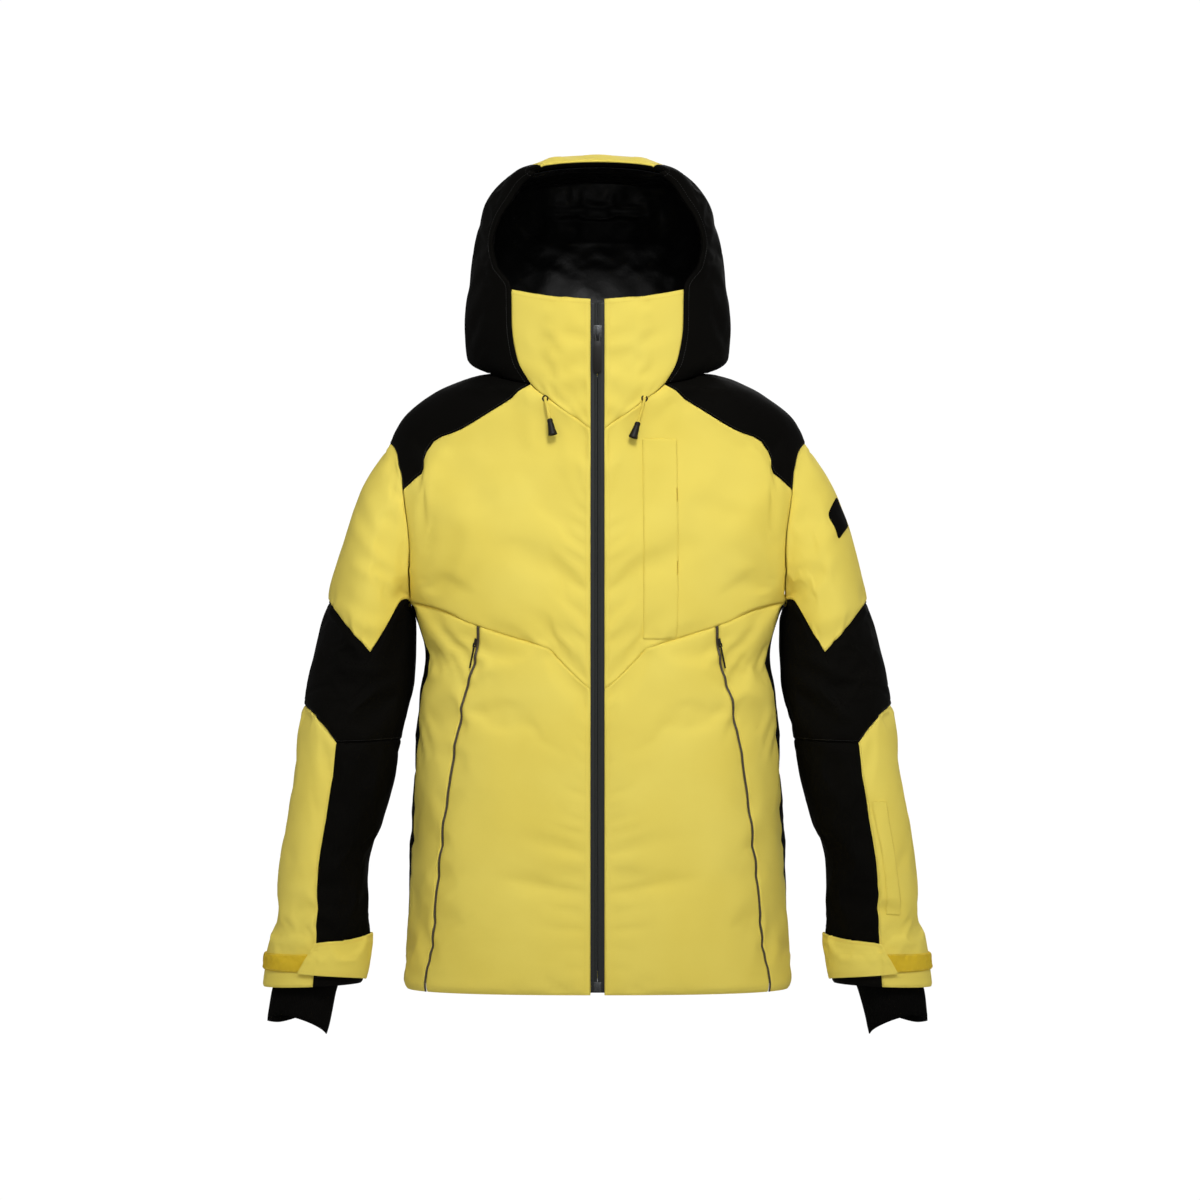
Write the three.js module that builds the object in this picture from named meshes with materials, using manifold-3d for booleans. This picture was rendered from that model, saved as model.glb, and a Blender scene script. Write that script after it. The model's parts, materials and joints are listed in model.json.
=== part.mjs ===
// A padded ski jacket with a fixed hood, shaped as it sits on a wearer's shoulders.
// Millimetres, +Z up, +X towards the wearer's left arm, -Y towards the front,
// with the origin at the seat of the neck.
import * as THREE from 'three';
import { mergeVertices } from 'three/addons/utils/BufferGeometryUtils.js';
import Module from 'manifold-3d';

const wasm = await Module();
wasm.setup();

// ---- driving sizes ---------------------------------------------------------
const BODY_LENGTH = 726;          // neck seat down to the front hem
const HALF_CHEST = 226;           // half the width across the underarms
const SLEEVE_LENGTH = 652;        // shoulder tip down to the cuff hem
const HEM_FRONT = 142;            // centre front of the hem, ahead of the neck
const FRONT_LEAN = 0.045;         // how far the centre front leans back, per mm of height
const SHOULDER_TIP_Z = -70;
const UNDERARM_Z = -264;
const ARMHOLE_SPREAD = 0.53;      // armhole depth as a share of the body's depth there
const SHELL = 2.4;                // face fabric with the padding quilted to it
const LINING = 1.2;
const LINING_ROOM = 8;            // from the shell's back to the lining, filled with padding
const SEAM_GAP = 0.36;            // between two panels sewn edge to edge
const FIT_GAP = 0.3;              // between small pieces that sit in each other

const ZIP_TOP_Z = 97;
const ZIP_OPENING = 16.6;         // between the two front edges
const TAPE_OVERLAP = 1.7;         // how far each tape runs behind the front's edge
const TAPE_WIDTH = ZIP_OPENING / 2 + TAPE_OVERLAP;
const TAPE = 1.1;
const COIL_WIDTH = 2.8;
const COIL_HEIGHT = 1.3;
const TAPE_SPLIT = 1.2;           // between the two halves of the coil
const SLIDER_Z = 62;
const SLIDER_WIDTH = 10;
const SLIDER_LENGTH = 15;
const PLATE = 1.3;
const PULL_LENGTH = 47;
const PULL_WIDTH = 10;
const PULL = 2.4;

const PIPING_WIDTH = 3.4;
const POCKET_SLIDER_WIDTH = 3.8;
const POCKET_SLIDER_LENGTH = 8;
const POCKET_PULL_LENGTH = 27;

const CORD = 3.5;
const CORD_SIDES = 8;
const CORD_END_LENGTH = 19;
const CORD_END_TOP = CORD / 2 + 1.75;   // radius where the cord goes in
const CORD_END_FOOT = CORD_END_TOP + 2;
const EYELET_BORE = CORD + 1.4;
const EYELET_RIM = 1.7;
const EYELET_LIFT = 1.2;          // proud of the seam that it is set in

const STRIP = 2;                  // loop tape round the cuff
const FLAP = 2.2;                 // cuff flap

// ---- the base block, the size that the outlines below are drawn for ------------
const BLOCK_LENGTH = 726;
const BLOCK_HALF_CHEST = 226;
const COLLAR_HALF = 80;           // half the collar's width at the neck seam

const HEM_Z = -BODY_LENGTH;
const degrees = Math.PI / 180;

// Grading: outlines of the base block carried over to the driving sizes.
function gradeX(x) {
  if (x <= COLLAR_HALF) return x;
  const grow = (HALF_CHEST - COLLAR_HALF) / (BLOCK_HALF_CHEST - COLLAR_HALF);
  return COLLAR_HALF + (x - COLLAR_HALF) * grow;
}
function gradeZ(z) {
  if (z >= UNDERARM_Z) return z;
  const grow = (BODY_LENGTH + UNDERARM_Z) / (BLOCK_LENGTH + UNDERARM_Z);
  return UNDERARM_Z + (z - UNDERARM_Z) * grow;
}

// A smooth curve through rows of [position, value], with no overshoot between them.
function curve(rows) {
  const sorted = [...rows].sort((a, b) => a[0] - b[0]);
  const x = sorted.map((row) => row[0]);
  const y = sorted.map((row) => row[1]);
  const rise = x.slice(1).map((value, i) => (y[i + 1] - y[i]) / (value - x[i]));
  const slope = x.map((_, i) => {
    if (i === 0) return rise[0];
    if (i === x.length - 1) return rise[i - 1];
    if (rise[i - 1] * rise[i] <= 0) return 0;
    return (2 * rise[i - 1] * rise[i]) / (rise[i - 1] + rise[i]);
  });
  return (at) => {
    const p = Math.min(Math.max(at, x[0]), x[x.length - 1]);
    let i = 0;
    while (i < x.length - 2 && p > x[i + 1]) i += 1;
    const span = x[i + 1] - x[i];
    const u = (p - x[i]) / span;
    const a = 2 * u ** 3 - 3 * u ** 2 + 1;
    const b = u ** 3 - 2 * u ** 2 + u;
    const c = 3 * u ** 2 - 2 * u ** 3;
    const d = u ** 3 - u ** 2;
    return a * y[i] + b * span * slope[i] + c * y[i + 1] + d * span * slope[i + 1];
  };
}

// ---- body surface: horizontal sections, phi 0 at the front, 90 degrees at the side ----
const bodyWidth = [
  [18, 122], [14, 131], [2, 169], [-12, 198], [-42, 235], [SHOULDER_TIP_Z, 250],
  [-100, 260], [-140, 262], [-200, 248], [UNDERARM_Z, 226], [-330, 211], [-378, 216],
  [-500, 222], [-640, 227], [-726, 232],
];
const halfWidth = curve(bodyWidth.map(([z, x]) => [gradeZ(z), gradeX(x)]));
const squareness = curve([[18, 2], [0, 1.8], [-60, 1.75], [-140, 2.15], [UNDERARM_Z, 2.4], [HEM_Z, 2.5]]);
const backY = curve([
  [18, 90], [-5, 100], [-60, 112], [-130, 128], [UNDERARM_Z, 125], [gradeZ(-440), 108], [HEM_Z, 120],
]);
const sideY = curve([[18, 5], [SHOULDER_TIP_Z, 10], [UNDERARM_Z, 0], [HEM_Z, -5]]);
const frontY = (z) => -HEM_FRONT + FRONT_LEAN * (z - HEM_Z);

function body([phi, z]) {
  const power = 2 / squareness(z);
  const across = Math.sin(phi);
  const along = Math.cos(phi);
  const reach = (along > 0 ? frontY(z) : backY(z)) - sideY(z);
  const x = halfWidth(z) * Math.sign(across) * Math.abs(across) ** power;
  return new THREE.Vector3(x, sideY(z) + reach * Math.abs(along) ** power, z);
}

// The place on the front of the body at a graded x and z of the base block.
function onFront(x, z) {
  const height = gradeZ(z);
  const share = Math.min(gradeX(x) / halfWidth(height), 1);
  return [Math.asin(share ** (squareness(height) / 2)), height];
}

// The armhole runs round the end of the shoulder, theta 0 at the top, 90 degrees in front.
function armhole(theta) {
  const z = (SHOULDER_TIP_Z + UNDERARM_Z) / 2 + ((SHOULDER_TIP_Z - UNDERARM_Z) / 2) * Math.cos(theta);
  const share = ARMHOLE_SPREAD * Math.abs(Math.sin(theta));
  const phi = Math.acos(share ** (squareness(z) / 2));
  return [Math.sin(theta) >= 0 ? phi : Math.PI - phi, z];
}

// ---- sleeve surface: rings down the arm, theta 0 outside, 90 degrees in front ----
const INNER_CUFF_RISE = 4;
const sleeveRows = [
  // outer drop, outer out, inner drop, inner out, half depth, forward
  [0, 0, 0, 0, 62, 5],
  [0.071, 28, 0.009, 0, 67, 5],
  [0.156, 50, 0.022, -1, 72, 5],
  [0.248, 68, 0.048, -3, 75, 4],
  [0.344, 84, 0.096, -4, 77, 3],
  [0.433, 97, 0.193, -3, 76, 0],
  [0.518, 108, 0.307, 8, 73, -6],
  [0.62, 117, 0.447, 20, 69, -14],
  [0.706, 125, 0.57, 34, 65, -21],
  [0.785, 132, 0.684, 47, 61, -28],
  [0.874, 138, 0.816, 51, 58, -34],
  [0.936, 146, 0.908, 52, 55, -38],
  [1, 153, 1, 57, 53, -42],
];
const CUFF_T = sleeveRows.length - 1;
const sleeveColumn = (k) => curve(sleeveRows.map((row, t) => [t, row[k]]));
const [outerDrop, outerOut, innerDrop, innerOut, sleeveDepth, sleeveForward] =
  [0, 1, 2, 3, 4, 5].map(sleeveColumn);
const shoulderTipX = halfWidth(SHOULDER_TIP_Z);
const underarmX = halfWidth(UNDERARM_Z);
const innerLength = SLEEVE_LENGTH - (SHOULDER_TIP_Z - UNDERARM_Z) - INNER_CUFF_RISE;
const ARMHOLE_FADE_T = 2.5;

function sleeveRing(theta, t) {
  const outX = shoulderTipX + outerOut(t);
  const outZ = SHOULDER_TIP_Z - outerDrop(t) * SLEEVE_LENGTH;
  const inX = underarmX + innerOut(t);
  const inZ = UNDERARM_Z - innerDrop(t) * innerLength;
  const c = Math.cos(theta);
  const x = (outX + inX) / 2 + ((outX - inX) / 2) * c;
  const z = (outZ + inZ) / 2 + ((outZ - inZ) / 2) * c;
  return new THREE.Vector3(x, sleeveForward(t) - sleeveDepth(t) * Math.sin(theta), z);
}
function sleeve([theta, t]) {
  const point = sleeveRing(theta, t);
  if (t >= ARMHOLE_FADE_T) return point;
  const fade = (1 - t / ARMHOLE_FADE_T) ** 2;
  const pull = body(armhole(theta)).sub(sleeveRing(theta, 0)).multiplyScalar(fade);
  return point.add(pull);
}

// ---- hood surface: s 0 at the centre back, 1 at the face edge; t 0 at the neck ----
const hoodRows = [
  // centre y, centre z, edge x, edge y, edge z, widest half
  [96, 14, 80, -92, 0, 124],
  [116, 48, 96, -89, 28, 155],
  [134, 90, 103, -85, 70, 158],
  [141, 134, 104, -80, 114, 153],
  [134, 180, 122, -68, 142, 148],
  [108, 222, 128, -63, 170, 142],
  [60, 262, 120, -66, 198, 132],
  [4, 274, 104, -74, 222, 115],
  [-52, 273, 90, -84, 240, 100],
  [-98, 267, 74, -94, 251, 81],
];
const BRIM_T = hoodRows.length - 1;
const COLLAR_T = 3;               // the row where the collar's top corner meets the hood
const [crownY, crownZ, edgeX, edgeY, edgeZ, hoodHalf] =
  [0, 1, 2, 3, 4, 5].map((k) => curve(hoodRows.map((row, t) => [t, row[k]])));
const collarCorner = onFront(COLLAR_HALF, 0);
const neckZ = curve([
  [collarCorner[0], 0], [50 * degrees, 8], [70 * degrees, 14], [90 * degrees, 16], [Math.PI, 14],
]);
const NECK_FADE_T = 1.2;

function hoodRing(s, t) {
  const wide = edgeX(t) / hoodHalf(t);
  const endTurn = Math.PI - Math.asin(wide);
  const backShare = Math.sqrt(1 - wide ** 2);
  const middle = backShare / (1 + backShare);
  const turn = Math.abs(s) * endTurn;
  const c = Math.cos(turn);
  const reach = c > 0 ? middle + (1 - middle) * c : middle * (1 + c / backShare);
  const y = edgeY(t) + (crownY(t) - edgeY(t)) * reach;
  const z = edgeZ(t) + (crownZ(t) - edgeZ(t)) * reach;
  return new THREE.Vector3(Math.sign(s) * hoodHalf(t) * Math.sin(turn), y, z);
}
function neckAt(s) {
  const phi = Math.PI - Math.abs(s) * (Math.PI - collarCorner[0]);
  const seat = body([phi, neckZ(phi)]);
  seat.x *= s < 0 ? -1 : 1;
  return seat;
}
function hood([s, t]) {
  const point = hoodRing(s, t);
  if (t >= NECK_FADE_T) return point;
  const fade = (1 - t / NECK_FADE_T) ** 2;
  return point.add(neckAt(s).sub(hoodRing(s, 0)).multiplyScalar(fade));
}

// ---- grids and panels ----------------------------------------------------------
const SIDE_REACH = 150;           // mm to a radian, so that seams are spaced evenly

// Evenly spaced places along a seam through the given places on a surface.
function seam(places, count, reach = SIDE_REACH) {
  const points = places.map(([a, b]) => new THREE.Vector3(a * reach, b, 0));
  const path = new THREE.CatmullRomCurve3(points, false, 'centripetal');
  path.arcLengthDivisions = 400;
  return path.getSpacedPoints(count).map((point) => [point.x / reach, point.y]);
}
const straight = (from, to, count) =>
  Array.from({ length: count + 1 }, (_, i) =>
    [0, 1].map((k) => from[k] + ((to[k] - from[k]) * i) / count));
const along = (from, to, count, place) =>
  Array.from({ length: count + 1 }, (_, i) => place(from + ((to - from) * i) / count));
const joined = (...seams) => seams.reduce((all, next) => all.concat(next.slice(1)));
const reversed = (line) => [...line].reverse();

// Rows of places between four edges. Bottom and top run the same way, and so do left and right.
// A lift over 1 keeps the top edge's bends to the rows near it.
function between(bottom, top, left, right, lift = 1) {
  const wide = bottom.length - 1;
  const high = left.length - 1;
  const mix = (i, j, k) => {
    const u = i / wide;
    const v = j / high;
    const level = (1 - u) * left[j][k] + u * right[j][k];
    const low = bottom[i][k] - (1 - u) * bottom[0][k] - u * bottom[wide][k];
    const up = top[i][k] - (1 - u) * top[0][k] - u * top[wide][k];
    return level + (1 - v) * low + v ** lift * up;
  };
  return left.map((_, j) => bottom.map((__, i) => [mix(i, j, 0), mix(i, j, 1)]));
}

// The outward normal of a surface at a place on it; turn is 1 or -1.
function normalAt(surface, [a, b], turn) {
  const stepA = 0.002;
  const stepB = 0.02;
  const da = surface([a + stepA, b]).sub(surface([a - stepA, b]));
  const db = surface([a, b + stepB]).sub(surface([a, b - stepB]));
  return da.cross(db).multiplyScalar(turn).normalize();
}

const root = new THREE.Group();
const sheets = [];

const YELLOW = { color: 0xe6d35f, roughness: 0.85, metalness: 0 };
const BLACK = { color: 0x14130f, roughness: 0.85, metalness: 0 };
const GLOSS_BLACK = { color: 0x101010, roughness: 0.4, metalness: 0 };
const LOOP_YELLOW = { color: 0xdcbc2a, roughness: 0.95, metalness: 0 };
const TAPE_GREY = { color: 0x2d3030, roughness: 0.5, metalness: 0 };
const REFLECTIVE = { color: 0x77736c, roughness: 0.4, metalness: 0 };
const SOFT_BLACK = { color: 0x1c1b19, roughness: 0.6, metalness: 0 };
const METAL = { color: 0x9a9a98, roughness: 0.35, metalness: 0.9 };

// Notes a sheet of fabric: points and outward normals in rows, outer face first.
function sheet(name, finish, surface, turn, rows, options = {}) {
  const points = rows.map((row) => row.map((place) => surface(place)));
  const normals = rows.map((row) => row.map((place) => normalAt(surface, place, turn)));
  const added = { name, finish, points, normals, rise: 0, thickness: SHELL, sewn: true, ...options };
  sheets.push(added);
  return added;
}

// Where sheets share an edge, they share the direction of their thickness too.
function matchEdges() {
  const rim = [];
  for (const piece of sheets.filter((each) => each.sewn)) {
    piece.points.forEach((row, j) => row.forEach((point, i) => {
      const edge = j === 0 || i === 0 || j === piece.points.length - 1 || i === row.length - 1;
      if (edge) rim.push({ point, normal: piece.normals[j][i], piece, i, j });
    }));
  }
  const shared = rim.map((own) => {
    const sum = own.normal.clone();
    for (const other of rim) {
      const meets = other.piece !== own.piece && other.point.distanceTo(own.point) < 0.05;
      if (meets && other.normal.dot(own.normal) > 0.5) sum.add(other.normal);
    }
    return sum.normalize();
  });
  rim.forEach((own, k) => {
    own.piece.normals[own.j][own.i] = shared[k];
  });
}

// Moves a sheet's edges in, across each edge, by the given amounts: [bottom, top, left, right].
function trimmed(points, normals, [bottom, top, left, right]) {
  const last = points.length - 1;
  const end = points[0].length - 1;
  const columns = points[0].map((_, i) => i);
  const rows = points.map((_, j) => j);
  const rim = [
    ...columns.slice(0, end).map((i) => [0, i, bottom]),
    ...rows.slice(0, last).map((j) => [j, end, right]),
    ...columns.slice(1).reverse().map((i) => [last, i, top]),
    ...rows.slice(1).reverse().map((j) => [j, 0, left]),
  ];
  const middle = Math.floor(end / 2);
  const inside = points[1][middle].clone().sub(points[0][middle]);
  const run = points[0][middle + 1].clone().sub(points[0][middle]);
  const hand = Math.sign(normals[0][middle].clone().cross(run).dot(inside));
  const result = points.map((row) => row.map((point) => point.clone()));
  rim.forEach(([j, i, after], k) => {
    const [beforeJ, beforeI, before] = rim[(k + rim.length - 1) % rim.length];
    const [afterJ, afterI] = rim[(k + 1) % rim.length];
    const across = (from, to) => normals[j][i].clone().cross(to.clone().sub(from)).setLength(hand);
    const inBefore = across(points[beforeJ][beforeI], points[j][i]);
    const inAfter = across(points[j][i], points[afterJ][afterI]);
    const bend = inBefore.dot(inAfter);
    const spread2 = 1 - bend * bend;
    if (spread2 < 1e-3) {
      result[j][i].addScaledVector(inBefore, (before + after) / 2);
      return;
    }
    result[j][i].addScaledVector(inBefore, (before - after * bend) / spread2);
    result[j][i].addScaledVector(inAfter, (after - before * bend) / spread2);
  });
  return result;
}

function signedVolume(position, index) {
  const corner = [0, 1, 2].map(() => new THREE.Vector3());
  let sum = 0;
  for (let k = 0; k < index.length; k += 3) {
    corner.forEach((vector, m) => vector.fromArray(position, index[k + m] * 3));
    sum += corner[0].dot(corner[1].clone().cross(corner[2]));
  }
  return sum;
}

function solidFrom(position, index) {
  if (signedVolume(position, index) < 0) {
    for (let k = 0; k < index.length; k += 3) [index[k + 1], index[k + 2]] = [index[k + 2], index[k + 1]];
  }
  const geometry = new THREE.BufferGeometry();
  geometry.setAttribute('position', new THREE.Float32BufferAttribute(position, 3));
  geometry.setIndex(index);
  return geometry;
}

// A closed solid between a sheet's outer face and its inner face.
function sheetGeometry(piece) {
  const trims = piece.trims ?? [SEAM_GAP / 2, SEAM_GAP / 2, SEAM_GAP / 2, SEAM_GAP / 2];
  const face = trimmed(piece.points, piece.normals, trims);
  const high = face.length;
  const wide = face[0].length;
  const position = [];
  for (const depth of [0, piece.thickness]) {
    face.forEach((row, j) => row.forEach((point, i) => {
      const place = point.clone().addScaledVector(piece.normals[j][i], piece.rise - depth);
      position.push(place.x, place.y, place.z);
    }));
  }
  const index = [];
  const quad = (a, b, c, d) => index.push(a, b, c, a, c, d);
  const at = (j, i, back = 0) => back * high * wide + j * wide + i;
  for (let j = 0; j < high - 1; j += 1) {
    for (let i = 0; i < wide - 1; i += 1) {
      const slant = face[j][i].distanceTo(face[j + 1][i + 1]);
      const other = face[j][i + 1].distanceTo(face[j + 1][i]);
      const ring = [[j, i], [j, i + 1], [j + 1, i + 1], [j + 1, i]];
      if (other < slant) ring.push(ring.shift());
      quad(...ring.map(([row, column]) => at(row, column)));
      const [a, b, c, d] = ring.map(([row, column]) => at(row, column, 1));
      index.push(a, c, b, a, d, c);
    }
  }
  for (let i = 0; i < wide - 1; i += 1) {
    quad(at(0, i, 1), at(0, i + 1, 1), at(0, i + 1), at(0, i));
    quad(at(high - 1, i), at(high - 1, i + 1), at(high - 1, i + 1, 1), at(high - 1, i, 1));
  }
  for (let j = 0; j < high - 1; j += 1) {
    quad(at(j, 0), at(j + 1, 0), at(j + 1, 0, 1), at(j, 0, 1));
    quad(at(j, wide - 1, 1), at(j + 1, wide - 1, 1), at(j + 1, wide - 1), at(j, wide - 1));
  }
  return solidFrom(position, index);
}

function mirrored(geometry) {
  const position = Array.from(geometry.attributes.position.array, (value, k) => (k % 3 ? value : -value));
  return solidFrom(position, Array.from(geometry.index.array));
}

function addMesh(name, geometry, finish, parent = root) {
  const mesh = new THREE.Mesh(geometry, new THREE.MeshStandardMaterial(finish));
  mesh.name = name;
  parent.add(mesh);
  return mesh;
}

// ---- booleans ------------------------------------------------------------------
function toManifold(geometry) {
  const bare = geometry.clone();
  bare.deleteAttribute('normal');
  bare.deleteAttribute('uv');
  const merged = mergeVertices(bare, 1e-4);
  const vertProperties = new Float32Array(merged.attributes.position.array);
  const triVerts = new Uint32Array(merged.index.array);
  return new wasm.Manifold(new wasm.Mesh({ numProp: 3, vertProperties, triVerts }));
}
function fromManifold(solid) {
  const { vertProperties, triVerts } = solid.getMesh();
  return solidFrom(Array.from(vertProperties), Array.from(triVerts));
}
function union(...geometries) {
  return fromManifold(geometries.map(toManifold).reduce((sum, next) => sum.add(next)));
}
function cut(geometry, ...tools) {
  const rest = tools.map(toManifold).reduce((left, next) => left.subtract(next), toManifold(geometry));
  return fromManifold(rest);
}
// A block from its lowest corner to its highest.
function block(low, high) {
  const size = high.map((value, k) => value - low[k]);
  const middle = high.map((value, k) => (value + low[k]) / 2);
  return new THREE.BoxGeometry(...size).translate(...middle);
}
// A round bar along X.
function bar(radius, halfLength, y, z, sides = 12) {
  const shape = new THREE.CylinderGeometry(radius, radius, 2 * halfLength, sides);
  return shape.rotateZ(Math.PI / 2).translate(0, y, z);
}

// ---- seams of the body, on the wearer's left; the right side mirrors them ---------
const LOW_ROWS = 8;
const CHEST_ROWS = 6;
const V_INNER = 8;
const V_OUTER = 3;
const COLLAR_STEPS = 4;
const YOKE_STEPS = 7;
const SHOULDER_STEPS = 5;
const NAPE_STEPS = 12;
const BACK_ARM_STEPS = 3;
const LOW_BACK_ARM_STEPS = 5;
const UNDERARM_STEPS = 4;

// Turns round the armhole where seams meet it.
const CHEST_TURN = 159.7 * degrees;
const YOKE_TURN = 65.7 * degrees;
const SHOULDER_TURN = -12 * degrees;
const BACK_YOKE_TURN = -61 * degrees;
const SIDE_BACK_TURN = -149 * degrees;

const openingEdge = ZIP_OPENING / 2;
const atOpening = (z) => {
  const share = openingEdge / halfWidth(z);
  return [Math.asin(share ** (squareness(z) / 2)), z];
};
const V_POINT_Z = gradeZ(-364);
const NECK_FRONT_Z = -54;
const pipingTop = onFront(142, -290);
const openingLow = along(HEM_Z, V_POINT_Z, LOW_ROWS, atOpening);
const openingChest = along(V_POINT_Z, NECK_FRONT_Z, CHEST_ROWS, atOpening);
const vInner = seam([
  atOpening(V_POINT_Z), onFront(48, -328), onFront(58, -318), onFront(72, -313), pipingTop,
], V_INNER);
const vOuter = seam([pipingTop, onFront(185, -273), armhole(CHEST_TURN)], V_OUTER);
const piping = seam([
  onFront(206, -726), onFront(203, -695), onFront(197, -650), onFront(191, -575), onFront(180, -490),
  onFront(160, -375), pipingTop,
], LOW_ROWS);
const sideFront = seam([
  [95 * degrees, HEM_Z], [90 * degrees, gradeZ(-624)], [84 * degrees, gradeZ(-500)],
  [79 * degrees, gradeZ(-378)], [75 * degrees, gradeZ(-330)], armhole(CHEST_TURN),
], LOW_ROWS);
const sideBack = seam([
  [122 * degrees, HEM_Z], [119 * degrees, gradeZ(-500)], [114 * degrees, gradeZ(-350)],
  armhole(SIDE_BACK_TURN),
], LOW_ROWS);
const neckFront = seam([atOpening(NECK_FRONT_Z), onFront(58, -18), collarCorner], COLLAR_STEPS);
const yokeFront = seam([
  collarCorner, onFront(115, -25), onFront(163, -56), onFront(194, -68), onFront(205, -82),
  onFront(209, -104), armhole(YOKE_TURN),
], YOKE_STEPS);
const shoulderPhi = armhole(SHOULDER_TURN)[0];
const neckLine = (phi) => [phi, neckZ(phi > Math.PI ? 2 * Math.PI - phi : phi)];
const neckSide = along(collarCorner[0], shoulderPhi, SHOULDER_STEPS, neckLine);
const shoulderSeam = straight(neckLine(shoulderPhi), armhole(SHOULDER_TURN), YOKE_STEPS);
const nape = along(shoulderPhi, 2 * Math.PI - shoulderPhi, NAPE_STEPS, neckLine);
const acrossBack = (line) => line.map(([phi, z]) => [2 * Math.PI - phi, z]);
const backYokeLine = seam([
  armhole(BACK_YOKE_TURN), [140 * degrees, -146], [Math.PI, -162], [220 * degrees, -146],
  ...acrossBack([armhole(BACK_YOKE_TURN)]),
], 2 * YOKE_STEPS + NAPE_STEPS);

const round = (from, to, count) => along(from, to, count, armhole);
const armChest = round(CHEST_TURN, YOKE_TURN, CHEST_ROWS);
const armYoke = round(YOKE_TURN, SHOULDER_TURN, SHOULDER_STEPS);
const armBackYoke = round(BACK_YOKE_TURN, SHOULDER_TURN, BACK_ARM_STEPS);
const armBack = round(SIDE_BACK_TURN, BACK_YOKE_TURN, LOW_BACK_ARM_STEPS);
const armUnder = along(CHEST_TURN, 2 * Math.PI + SIDE_BACK_TURN, UNDERARM_STEPS, armhole);

const onHem = (from, to, count) => straight(from, to, count);
const bodyPairs = [
  ['front_lower', YELLOW, between(
    onHem(openingLow[0], piping[0], V_INNER), vInner, openingLow, piping)],
  ['front_side', YELLOW, between(onHem(piping[0], sideFront[0], V_OUTER), vOuter, piping, sideFront)],
  ['chest', YELLOW, between(
    joined(vInner, vOuter), joined(neckFront, yokeFront), openingChest, armChest)],
  ['shoulder_yoke', BLACK, between(yokeFront, shoulderSeam, neckSide, armYoke)],
  ['side_panel', BLACK, between(
    onHem(sideFront[0], sideBack[0], UNDERARM_STEPS), armUnder, sideFront, sideBack)],
];
const half = SEAM_GAP / 2;
const pipingTrim = PIPING_WIDTH / 2 + FIT_GAP;
const bodyTrims = {
  front_lower: [0, half, 0, pipingTrim],
  front_side: [0, half, pipingTrim, half],
  chest: [half, half, 0, half],
  side_panel: [0, half, half, half],
};
for (const [name, finish, rows] of bodyPairs) {
  sheet(`${name}_left`, finish, body, 1, rows, { trims: bodyTrims[name], pair: `${name}_right` });
}
sheet('back_yoke', BLACK, body, 1, between(
  backYokeLine, joined(reversed(shoulderSeam), nape, acrossBack(shoulderSeam)),
  armBackYoke, acrossBack(armBackYoke)));
sheet('back_panel', YELLOW, body, 1, between(
  onHem(sideBack[0], acrossBack([sideBack[0]])[0], 2 * YOKE_STEPS + NAPE_STEPS), backYokeLine,
  joined(sideBack, armBack), acrossBack(joined(sideBack, armBack))), { trims: [0, half, half, half] });

// ---- sleeve panels --------------------------------------------------------------
const UNDER_STEPS = 2;
const ELBOW_ROWS = 5;
const FOREARM_ROWS = 6;
const FOREARM_STEPS = 11;
const UPPER_ROWS = 4;
const UNDER_T = 0.35;             // how far the upper sleeve reaches below the underarm
const ELBOW_T = 6.35;

// The lower edge of the upper sleeve and the top edge of the forearm, by the turn round the arm.
const upperEdge = (() => {
  const rows = [[0, 3.42], [30, 3.5], [57, 3.74], [85, 4.13], [98, 4.37]];
  const inside = [[98, 4.37], [106, 4.06], [120, 3.3], [140, 1.7], [160, 0.5], [180, UNDER_T]];
  const outer = curve(rows);
  const inner = curve(inside);
  return (theta) => {
    const turn = Math.abs(theta) / degrees;
    return turn < 98 ? outer(turn) : inner(turn);
  };
})();
const forearmTop = curve([[0, 5.6], [30, 5.7], [60, 6.05], [79, ELBOW_T]]);
const FOREARM_EDGE_TOP = 79 * degrees;
const FOREARM_EDGE_CUFF = 93 * degrees;

const chestTurns = [159.7, 144, 128, 112, 98, 82, 65.7].map((turn) => turn * degrees);
const spread = (from, to, count) => along(from, to, count, (turn) => turn);
const armTurns = joined(
  spread(Math.PI, CHEST_TURN, UNDER_STEPS), chestTurns, spread(YOKE_TURN, SHOULDER_TURN, SHOULDER_STEPS),
  spread(SHOULDER_TURN, BACK_YOKE_TURN, BACK_ARM_STEPS),
  spread(BACK_YOKE_TURN, SIDE_BACK_TURN, LOW_BACK_ARM_STEPS),
  spread(SIDE_BACK_TURN, -Math.PI, UNDER_STEPS));
armChest.forEach((_, k) => { armChest[k] = armhole(chestTurns[k]); });

const atArm = armTurns.map((turn) => [turn, 0]);
const atUpperEdge = armTurns.map((turn) => [turn, upperEdge(turn)]);
const seamDown = (turn, from, to, count) => straight([turn, from], [turn, to], count);
const insideSteps = (armTurns.length - 1 - FOREARM_STEPS) / 2;
const elbowFront = straight([Math.PI, ELBOW_T], [FOREARM_EDGE_TOP, ELBOW_T], insideSteps);
const elbowOuter = along(FOREARM_EDGE_TOP, -FOREARM_EDGE_TOP, FOREARM_STEPS, (turn) =>
  [turn, forearmTop(Math.abs(turn) / degrees)]);
const elbowBack = straight([-FOREARM_EDGE_TOP, ELBOW_T], [-Math.PI, ELBOW_T], insideSteps);
const forearmFront = straight([FOREARM_EDGE_TOP, ELBOW_T], [FOREARM_EDGE_CUFF, CUFF_T], FOREARM_ROWS);
const forearmBack = forearmFront.map(([turn, t]) => [-turn, t]);
const wrapBack = (line) => line.map(([turn, t]) => [turn - 2 * Math.PI, t]);

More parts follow.
